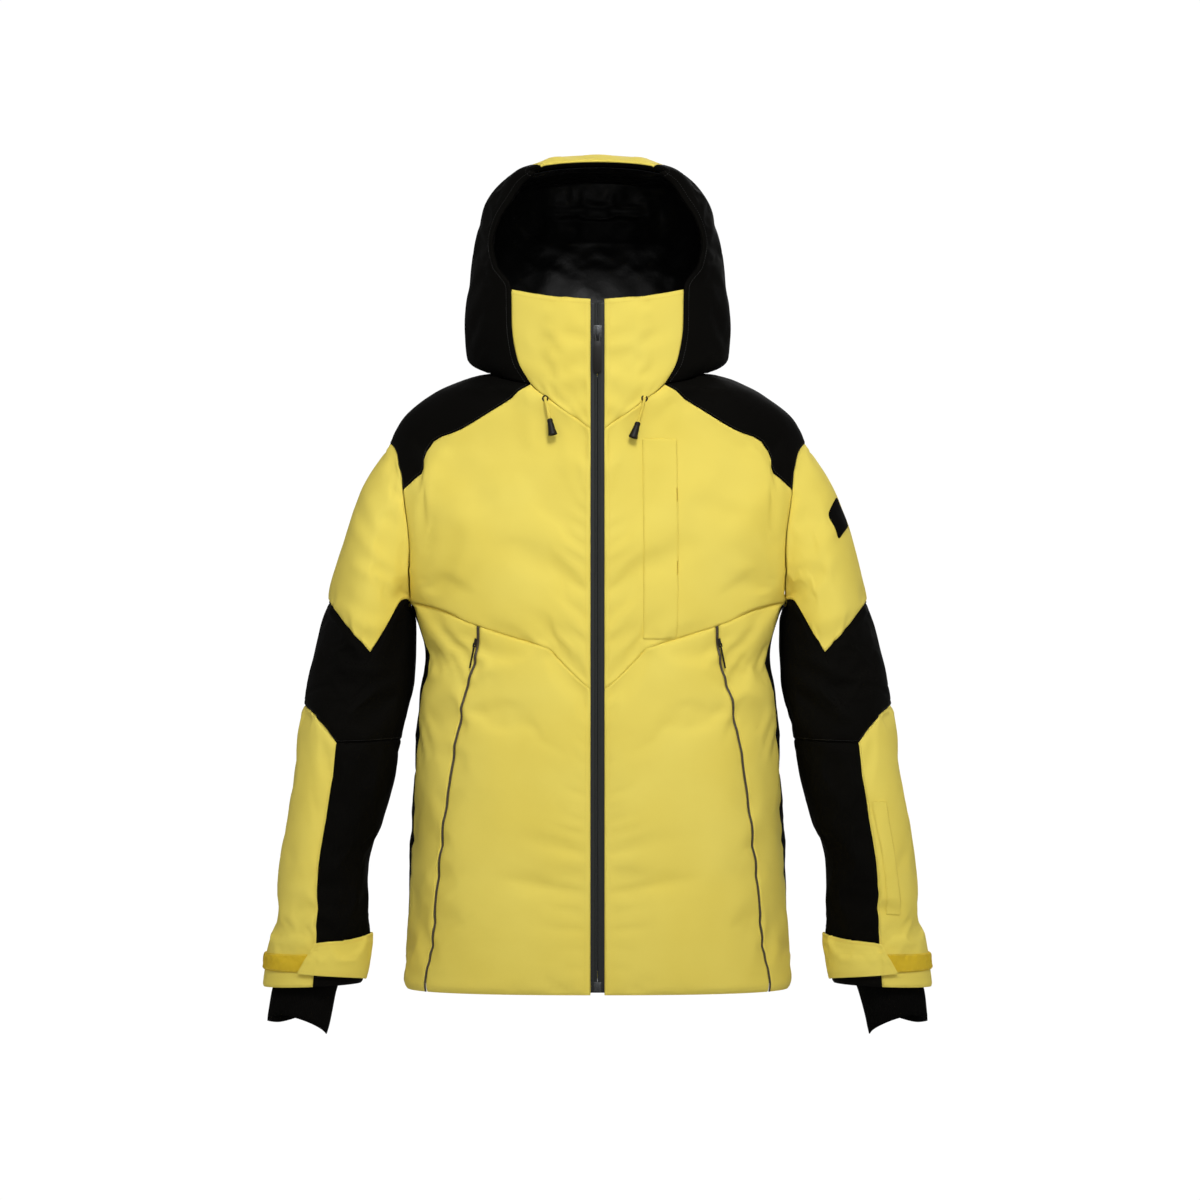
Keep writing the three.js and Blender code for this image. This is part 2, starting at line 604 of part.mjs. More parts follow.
sheet('upper_sleeve_left', YELLOW, sleeve, 1, between(
  atArm, atUpperEdge, seamDown(Math.PI, 0, UNDER_T, UPPER_ROWS), seamDown(-Math.PI, 0, UNDER_T, UPPER_ROWS),
), { pair: 'upper_sleeve_right' });
sheet('elbow_panel_left', BLACK, sleeve, 1, between(
  atUpperEdge, joined(elbowFront, elbowOuter, elbowBack),
  seamDown(Math.PI, UNDER_T, ELBOW_T, ELBOW_ROWS), seamDown(-Math.PI, UNDER_T, ELBOW_T, ELBOW_ROWS),
), { pair: 'elbow_panel_right' });
sheet('forearm_left', YELLOW, sleeve, 1, between(
  elbowOuter, straight(forearmFront[FOREARM_ROWS], forearmBack[FOREARM_ROWS], FOREARM_STEPS),
  forearmFront, forearmBack), { pair: 'forearm_right', trims: [half, 0, half, half] });
const underTop = joined(elbowBack, wrapBack(elbowFront));
sheet('forearm_under_left', BLACK, sleeve, 1, between(
  underTop, straight(forearmBack[FOREARM_ROWS], wrapBack(forearmFront)[FOREARM_ROWS], underTop.length - 1),
  forearmBack, wrapBack(forearmFront)), { pair: 'forearm_under_right', trims: [half, 0, half, half] });

// ---- collar fronts and hood shell --------------------------------------------------
const COLLAR_ROWS = 5;
const HOOD_ROWS = 10;
const HOOD_CENTRE_STEPS = 4;       // nape steps under the hood's centre panel
const COLLAR_TOP_DIP = 13;        // how far the collar's top dips from its corner to the zip

// The seam of the hood's centre panel, as a share s of the hood's half girth: it starts at a
// nape step and keeps to half the panel's width above.
const shareOf = (phi) => (Math.PI - phi) / (Math.PI - collarCorner[0]);
const footShare = shareOf(nape[(NAPE_STEPS - HOOD_CENTRE_STEPS) / 2][0]);
const centreHalf = curve([[1, 58], [3, 68], [6, 86], [7, 87], [8, 80], [BRIM_T, 68]]);
function centreEdge(t) {
  const endTurn = Math.PI - Math.asin(edgeX(t) / hoodHalf(t));
  const share = Math.asin(centreHalf(t) / hoodHalf(t)) / endTurn;
  return t < 1 ? footShare + (share - footShare) * t : share;
}
const hoodLevels = joined(
  spread(0, COLLAR_T, COLLAR_ROWS), spread(COLLAR_T, BRIM_T, HOOD_ROWS - COLLAR_ROWS + 1));
const napeHalf = nape.slice(0, (NAPE_STEPS - HOOD_CENTRE_STEPS) / 2 + 1);
const hoodSideBottom = joined(reversed(napeHalf), reversed(neckSide)).map(([phi]) => [shareOf(phi), 0]);
sheet('hood_side_left', BLACK, hood, -1, between(
  hoodSideBottom, straight([centreEdge(BRIM_T), BRIM_T], [1, BRIM_T], hoodSideBottom.length - 1),
  hoodLevels.map((t) => [centreEdge(t), t]), hoodLevels.map((t) => [1, t])), { pair: 'hood_side_right' });
sheet('hood_center', YELLOW, hood, -1, hoodLevels.map((t) =>
  spread(-centreEdge(t), centreEdge(t), HOOD_CENTRE_STEPS).map((s) => [s, t])));

const collarTopFront = new THREE.Vector3(openingEdge, frontY(ZIP_TOP_Z), edgeZ(COLLAR_T) - COLLAR_TOP_DIP);
function collarSurface() {
  const wide = COLLAR_STEPS;
  const foot = neckFront.map(body);
  const corner = hood([1, COLLAR_T]);
  const top = spread(0, 1, wide).map((u) => {
    const x = collarTopFront.x + (corner.x - collarTopFront.x) * u;
    const bow = u ** 2.4;
    const y = collarTopFront.y + (corner.y - collarTopFront.y) * bow;
    return new THREE.Vector3(x, y, collarTopFront.z + COLLAR_TOP_DIP * u ** 1.8);
  });
  const front = spread(0, 1, COLLAR_ROWS).map((v) => foot[0].clone().lerp(top[0], v));
  const side = spread(0, COLLAR_T, COLLAR_ROWS).map((t) => hood([1, t]));
  return front.map((_, j) => foot.map((__, i) => {
    const u = i / wide;
    const v = j / COLLAR_ROWS;
    const point = foot[i].clone().multiplyScalar(1 - v).addScaledVector(top[i], v);
    point.addScaledVector(front[j], 1 - u).addScaledVector(side[j], u);
    point.addScaledVector(foot[0], -(1 - u) * (1 - v)).addScaledVector(foot[wide], -u * (1 - v));
    return point.addScaledVector(top[0], -(1 - u) * v).addScaledVector(top[wide], -u * v);
  }));
}
// Normals of a plain grid of points whose rows run to the wearer's left and climb.
function gridNormals(points) {
  const last = points.length - 1;
  const end = points[0].length - 1;
  return points.map((row, j) => row.map((_, i) => {
    const across = points[j][Math.min(i + 1, end)].clone().sub(points[j][Math.max(i - 1, 0)]);
    const up = points[Math.min(j + 1, last)][i].clone().sub(points[Math.max(j - 1, 0)][i]);
    return across.cross(up).normalize();
  }));
}
const collarPoints = collarSurface();
sheets.push({
  name: 'collar_left', pair: 'collar_right', finish: YELLOW, points: collarPoints, sewn: true,
  normals: gridNormals(collarPoints), rise: 0, thickness: SHELL, trims: [half, 0, 0, half],
});

// ---- layers behind and on top of the shell --------------------------------------------
const LAYER_GAP = 1.2;            // from the shell's face to what lies on it
const liningRise = -(SHELL + LINING_ROOM);
const loose = { sewn: false, thickness: LINING, rise: liningRise, trims: [0, 0, 0, 0] };
const LINING_HEM_RISE = 26;
const LINING_EDGE = 22;           // the front facing between the zip and the lining
const LINING_COLUMNS = 8;
const LINING_ROWS = 12;
const LINING_LIFT = 5;
const liningSide = 98 * degrees;
const inwards = 4 * degrees;
const liningBase = HEM_Z + LINING_HEM_RISE;
const armFrontTurn = 178 * degrees;
const atFacing = (z) => {
  const share = LINING_EDGE / halfWidth(z);
  return [Math.asin(share ** (squareness(z) / 2)), z];
};
const frontLiningSide = joined(
  straight([liningSide, liningBase], [liningSide, UNDERARM_Z - 6], 6),
  [[liningSide, UNDERARM_Z - 6],
    ...round(armFrontTurn, 15 * degrees, 5).map(([phi, z]) => [phi - inwards, z])]);
const frontLiningTop = seam([
  atFacing(NECK_FRONT_Z - 4), onFront(58, -26), onFront(84, -14), [50 * degrees, -9],
  [72 * degrees, -10], [84 * degrees, -30], frontLiningSide[frontLiningSide.length - 1],
], LINING_COLUMNS);
sheet('front_lining_left', GLOSS_BLACK, body, 1, between(
  straight(atFacing(liningBase), frontLiningSide[0], LINING_COLUMNS), frontLiningTop,
  along(liningBase, NECK_FRONT_Z - 4, LINING_ROWS, atFacing), frontLiningSide, LINING_LIFT,
), { ...loose, pair: 'front_lining_right' });
const backLiningSide = joined(
  straight([liningSide + inwards, liningBase], [liningSide + inwards, UNDERARM_Z - 6], 6),
  [[liningSide + inwards, UNDERARM_Z - 6],
    ...round(-172 * degrees, -15 * degrees, 5).map(([phi, z]) => [phi + inwards, z])]);
const backLiningTop = seam([
  backLiningSide[backLiningSide.length - 1], [108 * degrees, -38], [128 * degrees, -20], [Math.PI, -12],
  ...acrossBack([[128 * degrees, -20], [108 * degrees, -38], backLiningSide[backLiningSide.length - 1]]),
], 2 * LINING_COLUMNS);
sheet('back_lining', GLOSS_BLACK, body, 1, between(
  straight(backLiningSide[0], acrossBack([backLiningSide[0]])[0], 2 * LINING_COLUMNS), backLiningTop,
  backLiningSide, acrossBack(backLiningSide), LINING_LIFT), loose);

const SLEEVE_LINING_TOP = 1.1;
const SLEEVE_LINING_END = 11.2;
sheet('sleeve_lining_left', GLOSS_BLACK, sleeve, 1, between(
  straight([179 * degrees, SLEEVE_LINING_TOP], [-179 * degrees, SLEEVE_LINING_TOP], 14),
  straight([179 * degrees, SLEEVE_LINING_END], [-179 * degrees, SLEEVE_LINING_END], 14),
  seamDown(179 * degrees, SLEEVE_LINING_TOP, SLEEVE_LINING_END, 8),
  seamDown(-179 * degrees, SLEEVE_LINING_TOP, SLEEVE_LINING_END, 8),
), { ...loose, pair: 'sleeve_lining_right' });

const HOOD_LINING_TOP = BRIM_T - 0.7;
const HOOD_LINING_SIDE = 0.93;
const FACING_DEPTH = 0.8;
sheet('hood_lining', GLOSS_BLACK, hood, -1, spread(0.25, HOOD_LINING_TOP, 9).map((t) =>
  spread(-HOOD_LINING_SIDE, HOOD_LINING_SIDE, 14).map((s) => [s, t])),
loose);
const FACING_SIDE = 0.97;
const FACING_TOP = BRIM_T - 0.1;
const facingOuter = joined(
  straight([-FACING_SIDE, COLLAR_T + 0.2], [-FACING_SIDE, FACING_TOP], 5),
  straight([-FACING_SIDE, FACING_TOP], [FACING_SIDE, FACING_TOP], 10),
  straight([FACING_SIDE, FACING_TOP], [FACING_SIDE, COLLAR_T + 0.2], 5));
const facingInner = joined(
  straight([-0.88, COLLAR_T + 0.2], [-0.88, BRIM_T - FACING_DEPTH], 5),
  straight([-0.88, BRIM_T - FACING_DEPTH], [0.88, BRIM_T - FACING_DEPTH], 10),
  straight([0.88, BRIM_T - FACING_DEPTH], [0.88, COLLAR_T + 0.2], 5));
const facingRise = -(SHELL + LINING_ROOM * 0.525);
sheet('hood_facing', BLACK, hood, -1, [facingInner, facingOuter],
  { ...loose, rise: facingRise, thickness: 1 });

// The powder skirt hangs inside the body from the waist, open at the front.
const SKIRT_TOP_Z = gradeZ(-560);
const SKIRT_LENGTH = 130;
const SKIRT_ROOM = 2;
const SKIRT_FLARE = 10;
const SKIRT_STEPS = 24;
const skirtTurns = spread(14 * degrees, 346 * degrees, SKIRT_STEPS);
const skirtSurface = ([phi, z]) => {
  const share = (SKIRT_TOP_Z - z) / SKIRT_LENGTH;
  const inset = SHELL + LINING_ROOM + LINING + SKIRT_ROOM + SKIRT_FLARE * share;
  return body([phi, z]).addScaledVector(normalAt(body, [phi, z], 1), -inset);
};
sheet('powder_skirt', GLOSS_BLACK, skirtSurface, 1,
  spread(SKIRT_TOP_Z - SKIRT_LENGTH, SKIRT_TOP_Z, 3).map((z) => skirtTurns.map((phi) => [phi, z])),
  { ...loose, rise: 0 });

// A flat placket over the chest pocket on the wearer's left.
const PLACKET = 1.6;
const onTop = { sewn: false, trims: [0, 0, 0, 0] };
const placketRows = spread(-306, -66, 8).map((z) =>
  spread(54, 95, 2).map((x) => onFront(x, z)));
sheet('chest_pocket_placket', YELLOW, body, 1, placketRows,
  { ...onTop, thickness: PLACKET, rise: LAYER_GAP + PLACKET });

// The sleeve pocket's welt and the plain patch, both on the wearer's left sleeve.
const WELT = 1.8;
const weltRows = spread(7.45, 9.9, 4).map((t) => [77, 68, 59].map((turn) => [turn * degrees, t]));
sheet('sleeve_pocket_welt', YELLOW, sleeve, 1, weltRows,
  { ...onTop, thickness: WELT, rise: LAYER_GAP + WELT });
const PATCH = 1.2;
const patchRows = spread(1.34, 1.98, 3).map((t) => [48, 36, 24, 12].map((turn) => [turn * degrees, t]));
sheet('sleeve_patch', BLACK, sleeve, 1, patchRows,
  { ...onTop, thickness: PATCH, rise: LAYER_GAP + PATCH });

// Loop tape round the outside of the cuff, and the flap that closes over its end.
const stripTurns = spread(84 * degrees, -60 * degrees, 9);
const stripTop = curve([[-60, 10.98], [0, 11.05], [84, 11.06]]);
const stripFoot = curve([[-60, 11.44], [0, 11.5], [84, 11.58]]);
sheet('cuff_loop_strip_left', LOOP_YELLOW, sleeve, 1, [0, 0.5, 1].map((v) =>
  stripTurns.map((turn) => {
    const at = turn / degrees;
    return [turn, stripTop(at) + (stripFoot(at) - stripTop(at)) * v];
  })), { ...onTop, thickness: STRIP, rise: LAYER_GAP + STRIP, pair: 'cuff_loop_strip_right' });
const flapTop = straight([184 * degrees, 10.55], [88 * degrees, 10.72], 8);
const flapFoot = straight([184 * degrees, 11.9], [74 * degrees, 11.62], 8);
sheet('cuff_flap_left', YELLOW, sleeve, 1, between(
  flapTop, flapFoot, straight(flapTop[0], flapFoot[0], 3), straight(flapTop[8], flapFoot[8], 3),
), { ...onTop, thickness: FLAP, rise: 2 * LAYER_GAP + STRIP + FLAP, pair: 'cuff_flap_right' });

// The wrist gaiter, a knitted tube inside the cuff with a notched hem.
const cuffMove = [gradeX(250) - 250, -(SLEEVE_LENGTH - 652)];
const gaiterRows = [
  // x, z, half width, half depth, y
  [336, -684, 39, 36, -37], [345, -704, 39, 37, -39], [352, -724, 39, 38, -41], [362, -766, 36, 37, -45],
];
const [gaiterX, gaiterZ, gaiterWide, gaiterDeep, gaiterY] =
  [0, 1, 2, 3, 4].map((k) => curve(gaiterRows.map((row, t) => [t, row[k]])));
const gaiterHem = curve([[-180, 3], [-120, 2.7], [-40, 3], [0, 2.95], [50, 2.72], [62, 2.7], [180, 3]]);
const GAITER_TIP_DROP = 14;
function gaiter([theta, t]) {
  const low = Math.max(t - 2.2, 0) / 0.8;
  const drop = GAITER_TIP_DROP * low * (0.5 - 0.5 * Math.cos(theta));
  const x = gaiterX(t) + gaiterWide(t) * Math.cos(theta);
  const y = gaiterY(t) - gaiterDeep(t) * Math.sin(theta);
  return new THREE.Vector3(x + cuffMove[0], y, gaiterZ(t) - drop + cuffMove[1]);
}
const GAITER = 1.6;
const gaiterTurns = spread(179 * degrees, -179 * degrees, 16);
sheet('wrist_gaiter_left', BLACK, gaiter, 1, [0, 0.25, 0.5, 0.75, 1].map((v) =>
  gaiterTurns.map((turn) => [turn, v * gaiterHem(turn / degrees)])),
{ ...onTop, thickness: GAITER, pair: 'wrist_gaiter_right' });

matchEdges();
for (const piece of sheets) {
  const geometry = sheetGeometry(piece);
  addMesh(piece.name, geometry, piece.finish);
  if (piece.pair) addMesh(piece.pair, mirrored(geometry), piece.finish);
}

// ---- front zip -------------------------------------------------------------------
// Its own frame: z along the zip, x across it, y inwards from the centre front line.
const zipLine = new THREE.Group();
const zipTilt = Math.atan(FRONT_LEAN);
zipLine.rotation.x = -zipTilt;
zipLine.position.set(0, frontY(0), 0);
root.add(zipLine);
const alongZip = (z) => z / Math.cos(zipTilt);
const zipTop = alongZip(ZIP_TOP_Z);
const zipFoot = alongZip(HEM_Z + 3);
const tapeFace = SHELL + 0.8;
const tapeBack = tapeFace + TAPE;
const coilBack = tapeBack + COIL_HEIGHT;
const coilEdge = TAPE_SPLIT / 2;

function tapeGeometry(side) {
  const profile = new THREE.Shape();
  profile.moveTo(coilEdge, tapeFace);
  profile.lineTo(TAPE_WIDTH, tapeFace);
  profile.lineTo(TAPE_WIDTH, tapeBack);
  profile.lineTo(coilEdge + COIL_WIDTH, tapeBack);
  profile.lineTo(coilEdge + COIL_WIDTH, coilBack);
  profile.lineTo(coilEdge, coilBack);
  profile.closePath();
  const geometry = new THREE.ExtrudeGeometry(profile, { depth: zipTop - zipFoot, bevelEnabled: false });
  geometry.translate(0, 0, zipFoot);
  return side > 0 ? geometry : mirrored(mergeVertices(plain(geometry), 1e-4));
}
function plain(geometry) {
  const bare = geometry.clone();
  bare.deleteAttribute('normal');
  bare.deleteAttribute('uv');
  return bare;
}
addMesh('zip_tape_left', tapeGeometry(1), TAPE_GREY, zipLine);
addMesh('zip_tape_right', tapeGeometry(-1), TAPE_GREY, zipLine);

const plateFace = tapeFace - FIT_GAP - PLATE;
const pinY = plateFace - 1.6;

// The box at the foot stays behind the pull, which hangs in front of it when the slider is down.
const BOX_HALF = 4.6;
const BOX_LENGTH = 13;
const boxFace = pinY + PULL / 2 + FIT_GAP;
addMesh('zip_retainer_box', block(
  [-BOX_HALF, boxFace, zipFoot], [BOX_HALF, tapeFace - FIT_GAP, zipFoot + BOX_LENGTH]), METAL, zipLine);

// The slider: a plate before and behind the coil, joined by a thin web between its halves,
// with a bail in front that the pull's cross bar hangs in.
const BAIL_HALF = 1.3;
const BAIL_HEIGHT = 4;
const PIN_RADIUS = 0.8;
const sliderAt = alongZip(SLIDER_Z);
function sliderGeometry() {
  const low = sliderAt - SLIDER_LENGTH / 2;
  const high = sliderAt + SLIDER_LENGTH / 2;
  const wide = SLIDER_WIDTH / 2;
  const webHalf = coilEdge - FIT_GAP;
  const behind = coilBack + FIT_GAP;
  const front = block([-wide, plateFace, low], [wide, plateFace + PLATE, high]);
  const back = block([-wide, behind, low], [wide, behind + PLATE, high]);
  const web = block([-webHalf, plateFace + 0.1, low + 4], [webHalf, behind + 0.1, high]);
  const flangeX = coilEdge + COIL_WIDTH + FIT_GAP;
  const flanges = [-1, 1].map((side) => {
    const edges = [side * flangeX, side * wide].sort((a, b) => a - b);
    return block([edges[0], tapeBack + FIT_GAP, low], [edges[1], behind + 0.1, high]);
  });
  const bail = block([-BAIL_HALF, plateFace - BAIL_HEIGHT, low + 2], [BAIL_HALF, plateFace + 0.1, high - 3]);
  const slot = block(
    [-BAIL_HALF - 1, plateFace - BAIL_HEIGHT + 1, low + 3.4], [BAIL_HALF + 1, plateFace - 0.3, high - 4.4]);
  return union(front, back, web, ...flanges, cut(bail, slot));
}
addMesh('main_slider', sliderGeometry(), METAL, zipLine);

const pinZ = sliderAt - SLIDER_LENGTH / 2 + 3.4 + PIN_RADIUS + FIT_GAP;
const ARM_INNER = BAIL_HALF + 0.5;
const ARM_OUTER = 3.2;
const ARM_LENGTH = 9;
function pullGeometry() {
  const pin = bar(PIN_RADIUS, ARM_OUTER - 0.2, pinY, pinZ);
  const arms = [-1, 1].map((side) => {
    const edges = [side * ARM_INNER, side * ARM_OUTER].sort((a, b) => a - b);
    return block([edges[0], pinY - 0.9, pinZ - ARM_LENGTH], [edges[1], pinY + 0.9, pinZ + 1]);
  });
  const wide = PULL_WIDTH / 2;
  const outline = new THREE.Shape();
  outline.moveTo(-ARM_OUTER, 0);
  outline.lineTo(-wide, -7);
  outline.lineTo(-wide, -(PULL_LENGTH - ARM_LENGTH - 3));
  outline.quadraticCurveTo(0, -(PULL_LENGTH - ARM_LENGTH + 3), wide, -(PULL_LENGTH - ARM_LENGTH - 3));
  outline.lineTo(wide, -7);
  outline.lineTo(ARM_OUTER, 0);
  outline.closePath();
  const tab = new THREE.ExtrudeGeometry(outline, { depth: PULL, bevelEnabled: false, curveSegments: 6 });
  tab.rotateX(Math.PI / 2).translate(0, pinY + PULL / 2, pinZ - ARM_LENGTH + 0.2);
  return union(pin, ...arms, tab);
}
addMesh('main_pull', pullGeometry(), SOFT_BLACK, zipLine);

// ---- hand pocket zips ---------------------------------------------------------------
const PIPING_RISE = 0.6;
const PIPING = 2;
const pipingPoints = piping.map(body);
const pipingNormals = piping.map((place) => normalAt(body, place, 1));
function pipingGeometry() {
  const rows = pipingPoints.map((point, k) => {
    const before = pipingPoints[Math.max(k - 1, 0)];
    const after = pipingPoints[Math.min(k + 1, pipingPoints.length - 1)];
    const lateral = after.clone().sub(before).cross(pipingNormals[k]).setLength(PIPING_WIDTH / 2);
    return [point.clone().sub(lateral), point.clone().add(lateral)];
  });
  const normals = rows.map((row, k) => row.map(() => pipingNormals[k]));
  return sheetGeometry({
    points: rows, normals, rise: PIPING_RISE, thickness: PIPING, trims: [0, SEAM_GAP, 0, 0],
  });
}
const pipingSolid = pipingGeometry();
addMesh('hand_pocket_zip_left', pipingSolid, REFLECTIVE);
addMesh('hand_pocket_zip_right', mirrored(pipingSolid), REFLECTIVE);

// A straight run for the slider beside the upper part of the piping.
const POCKET_RUN_TOP = gradeZ(-304);
const POCKET_RUN_FOOT = gradeZ(-469);
const pipingPlace = (z) => {
  const after = piping.findIndex((at) => at[1] >= z);
  const [low, high] = [piping[after - 1], piping[after]];
  const share = (z - low[1]) / (high[1] - low[1]);
  return [low[0] + (high[0] - low[0]) * share, z];
};
const runTop = body(pipingPlace(POCKET_RUN_TOP));
const runFoot = body(pipingPlace(POCKET_RUN_FOOT));
const runNormal = normalAt(body, pipingPlace((POCKET_RUN_TOP + POCKET_RUN_FOOT) / 2), 1);
const runUp = runTop.clone().sub(runFoot).normalize();
const runAcross = runUp.clone().cross(runNormal).normalize();
const runOut = runAcross.clone().cross(runUp).normalize();
const POCKET_SLIDER_RISE = 2;
const EAR = 0.6;
const pocketFrame = new THREE.Matrix4().makeBasis(runAcross, runOut, runUp);
pocketFrame.setPosition(runTop.clone().addScaledVector(runOut, POCKET_SLIDER_RISE));
function pocketSliderGeometry() {
  const wide = POCKET_SLIDER_WIDTH / 2;
  const length = POCKET_SLIDER_LENGTH;
  const plate = block([-wide, 0, -length], [wide, 1.4, 0]);
  const ears = [-1, 1].map((side) => {
    const edges = [side * (wide - EAR), side * wide].sort((a, b) => a - b);
    return block([edges[0], 0, -length - 2.4], [edges[1], 3, -length + 2]);
  });
  return union(plate, ...ears);
}
function pocketPullGeometry() {
  const wide = POCKET_SLIDER_WIDTH / 2 - EAR - FIT_GAP;
  const hinge = bar(0.7, wide, 1.9, -POCKET_SLIDER_LENGTH - 1.2, 10);
  const tab = block([-wide, 1.35, -POCKET_SLIDER_LENGTH - 1.2 - POCKET_PULL_LENGTH],
    [wide, 2.45, -POCKET_SLIDER_LENGTH - 1.2]);
  return union(hinge, tab);
}
const pocketPieces = [['slider', pocketSliderGeometry()], ['pull', pocketPullGeometry()]];
for (const [what, geometry] of pocketPieces) {
  geometry.applyMatrix4(pocketFrame);
  const solid = solidFrom(Array.from(geometry.attributes.position.array), Array.from(geometry.index.array));
  addMesh(`hand_pocket_${what}_left`, solid, SOFT_BLACK);
  addMesh(`hand_pocket_${what}_right`, mirrored(solid), SOFT_BLACK);
}

// ---- drawcords -----------------------------------------------------------------------
// Each leaves its eyelet at the neck seam, drops a little and ends in a bell-shaped end. Its
// course is given in steps from the eyelet's seat.
const EYELET_Z = -18;
const cordEyelets = { left: 55.6, right: -61.7 };
const cordSteps = {
  left: [
    [0, -2.62, 0.3], [0.3, -4.02, 0.5], [0.4, -5.32, 0.2], [0.3, -6.52, -0.6], [0.1, -7.42, -2],
    [-0.3, -7.92, -3.8], [-0.8, -8.22, -6], [-1.4, -8.32, -8.4], [-2.1, -8.42, -11],
    [-2.8, -8.52, -13.7], [-3.6, -8.72, -16.5], [-4.4, -9.02, -19.4], [-5.3, -9.32, -22.4],
    [-6.4, -9.72, -25.8], [-7.6, -10.22, -29.4],
  ],
  right: [
    [0, -2.79, 0.4], [-0.4, -4.39, 0.6], [-0.6, -5.99, 0.2], [-0.5, -7.29, -0.7],
    [-0.3, -8.19, -2.1], [0.1, -8.79, -3.8], [0.6, -9.09, -5.7], [1.1, -9.29, -7.8],
    [1.6, -9.49, -10], [2.1, -9.69, -12.3], [2.6, -9.89, -14.7], [3.2, -10.19, -17.2],
    [3.7, -10.49, -19.8], [4.3, -10.79, -22.5], [4.9, -11.19, -25.4],
  ],
};
const CORD_STEPS = 14;
for (const [side, across] of Object.entries(cordEyelets)) {
  const place = onFront(Math.abs(across), EYELET_Z);
  const facing = normalAt(body, place, 1);
  const seat = body(place);
  facing.x *= Math.sign(across);
  seat.x *= Math.sign(across);
  const points = cordSteps[side].map((step) => new THREE.Vector3(...step).add(seat));
  const path = new THREE.CatmullRomCurve3(points, false, 'centripetal');
  const corners = Array.from({ length: CORD_SIDES }, (_, k) => {
    const turn = (k * 2 * Math.PI) / CORD_SIDES;
    return new THREE.Vector2((CORD / 2) * Math.cos(turn), (CORD / 2) * Math.sin(turn));
  });
  const section = new THREE.Shape(corners);
  const tube = new THREE.ExtrudeGeometry(section, { steps: CORD_STEPS, extrudePath: path });
  addMesh(`drawcord_${side}`, tube, YELLOW);

  const profile = [
    [0, -FIT_GAP], [CORD_END_TOP - 0.8, -FIT_GAP], [CORD_END_TOP, -1.4],
    [CORD_END_FOOT, -CORD_END_LENGTH + 1.6], [CORD_END_FOOT - 0.9, -CORD_END_LENGTH],
    [0, -CORD_END_LENGTH],
  ].map(([radius, height]) => new THREE.Vector2(radius, height)).reverse();
  const bell = new THREE.LatheGeometry(profile, 14).rotateX(Math.PI / 2);
  const end = points[points.length - 1];
  const heading = end.clone().sub(points[points.length - 2]).normalize();
  const turn = new THREE.Quaternion().setFromUnitVectors(new THREE.Vector3(0, 0, -1), heading);
  const cordEnd = addMesh(`cord_end_${side}`, bell, SOFT_BLACK);
  cordEnd.quaternion.copy(turn);
  cordEnd.position.copy(end);

  const rimRadius = (EYELET_BORE + EYELET_RIM) / 2;
  const rim = new THREE.TorusGeometry(rimRadius, EYELET_RIM / 2, 6, 14);
  const eyelet = addMesh(`eyelet_${side}`, rim, SOFT_BLACK);
  eyelet.quaternion.setFromUnitVectors(new THREE.Vector3(0, 0, 1), facing);
  eyelet.position.copy(seat.addScaledVector(facing, EYELET_RIM / 2 + EYELET_LIFT));
}

// ---- hanging loop inside the back of the neck ----------------------------------------------
const LOOP_HALF = 26;
const LOOP_SAG = 12;
const loopY = backY(0) - SHELL - LINING_ROOM - LINING - 4;
const loopPath = new THREE.CatmullRomCurve3([
  [-LOOP_HALF, loopY, 4], [-LOOP_HALF * 0.8, loopY - 3, -2], [0, loopY - 5, 4 - LOOP_SAG],
  [LOOP_HALF * 0.8, loopY - 3, -2], [LOOP_HALF, loopY, 4],
].map((place) => new THREE.Vector3(...place)));
const LOOP_THICK = 1.4;
const LOOP_WIDE = 6;
const tapeSection = new THREE.Shape();
tapeSection.moveTo(-LOOP_THICK / 2, -LOOP_WIDE / 2);
tapeSection.lineTo(LOOP_THICK / 2, -LOOP_WIDE / 2);
tapeSection.lineTo(LOOP_THICK / 2, LOOP_WIDE / 2);
tapeSection.lineTo(-LOOP_THICK / 2, LOOP_WIDE / 2);
tapeSection.closePath();
const hangingLoop = new THREE.ExtrudeGeometry(tapeSection, { steps: 14, extrudePath: loopPath });
addMesh('hanging_loop', hangingLoop, SOFT_BLACK);

export default root;
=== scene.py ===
import json
import math

import bmesh
import bpy
import numpy as np
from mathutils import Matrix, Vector


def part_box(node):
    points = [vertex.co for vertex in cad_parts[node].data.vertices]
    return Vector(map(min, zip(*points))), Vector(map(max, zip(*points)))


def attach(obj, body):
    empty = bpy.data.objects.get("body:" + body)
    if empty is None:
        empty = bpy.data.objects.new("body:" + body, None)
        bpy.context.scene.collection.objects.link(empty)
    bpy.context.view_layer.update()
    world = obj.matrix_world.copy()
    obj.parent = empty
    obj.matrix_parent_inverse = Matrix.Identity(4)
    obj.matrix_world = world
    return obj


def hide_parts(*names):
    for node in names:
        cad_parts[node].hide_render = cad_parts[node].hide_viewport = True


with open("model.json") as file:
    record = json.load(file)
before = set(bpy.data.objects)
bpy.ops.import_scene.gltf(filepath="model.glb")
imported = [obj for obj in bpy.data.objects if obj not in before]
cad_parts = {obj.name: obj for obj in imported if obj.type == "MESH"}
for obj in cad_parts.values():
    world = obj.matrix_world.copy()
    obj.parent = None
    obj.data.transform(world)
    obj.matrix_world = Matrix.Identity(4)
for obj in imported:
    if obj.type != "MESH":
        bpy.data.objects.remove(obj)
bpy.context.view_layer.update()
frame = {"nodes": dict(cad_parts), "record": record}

MM = 0.001
DEG = math.pi / 180
SLOT_OF = {part["node"]: part["material_slot"] for part in frame["record"]["subparts"]}
BODY_OF = {node: body for body, nodes in frame["record"]["behaviour"]["bodies"].items() for node in nodes}

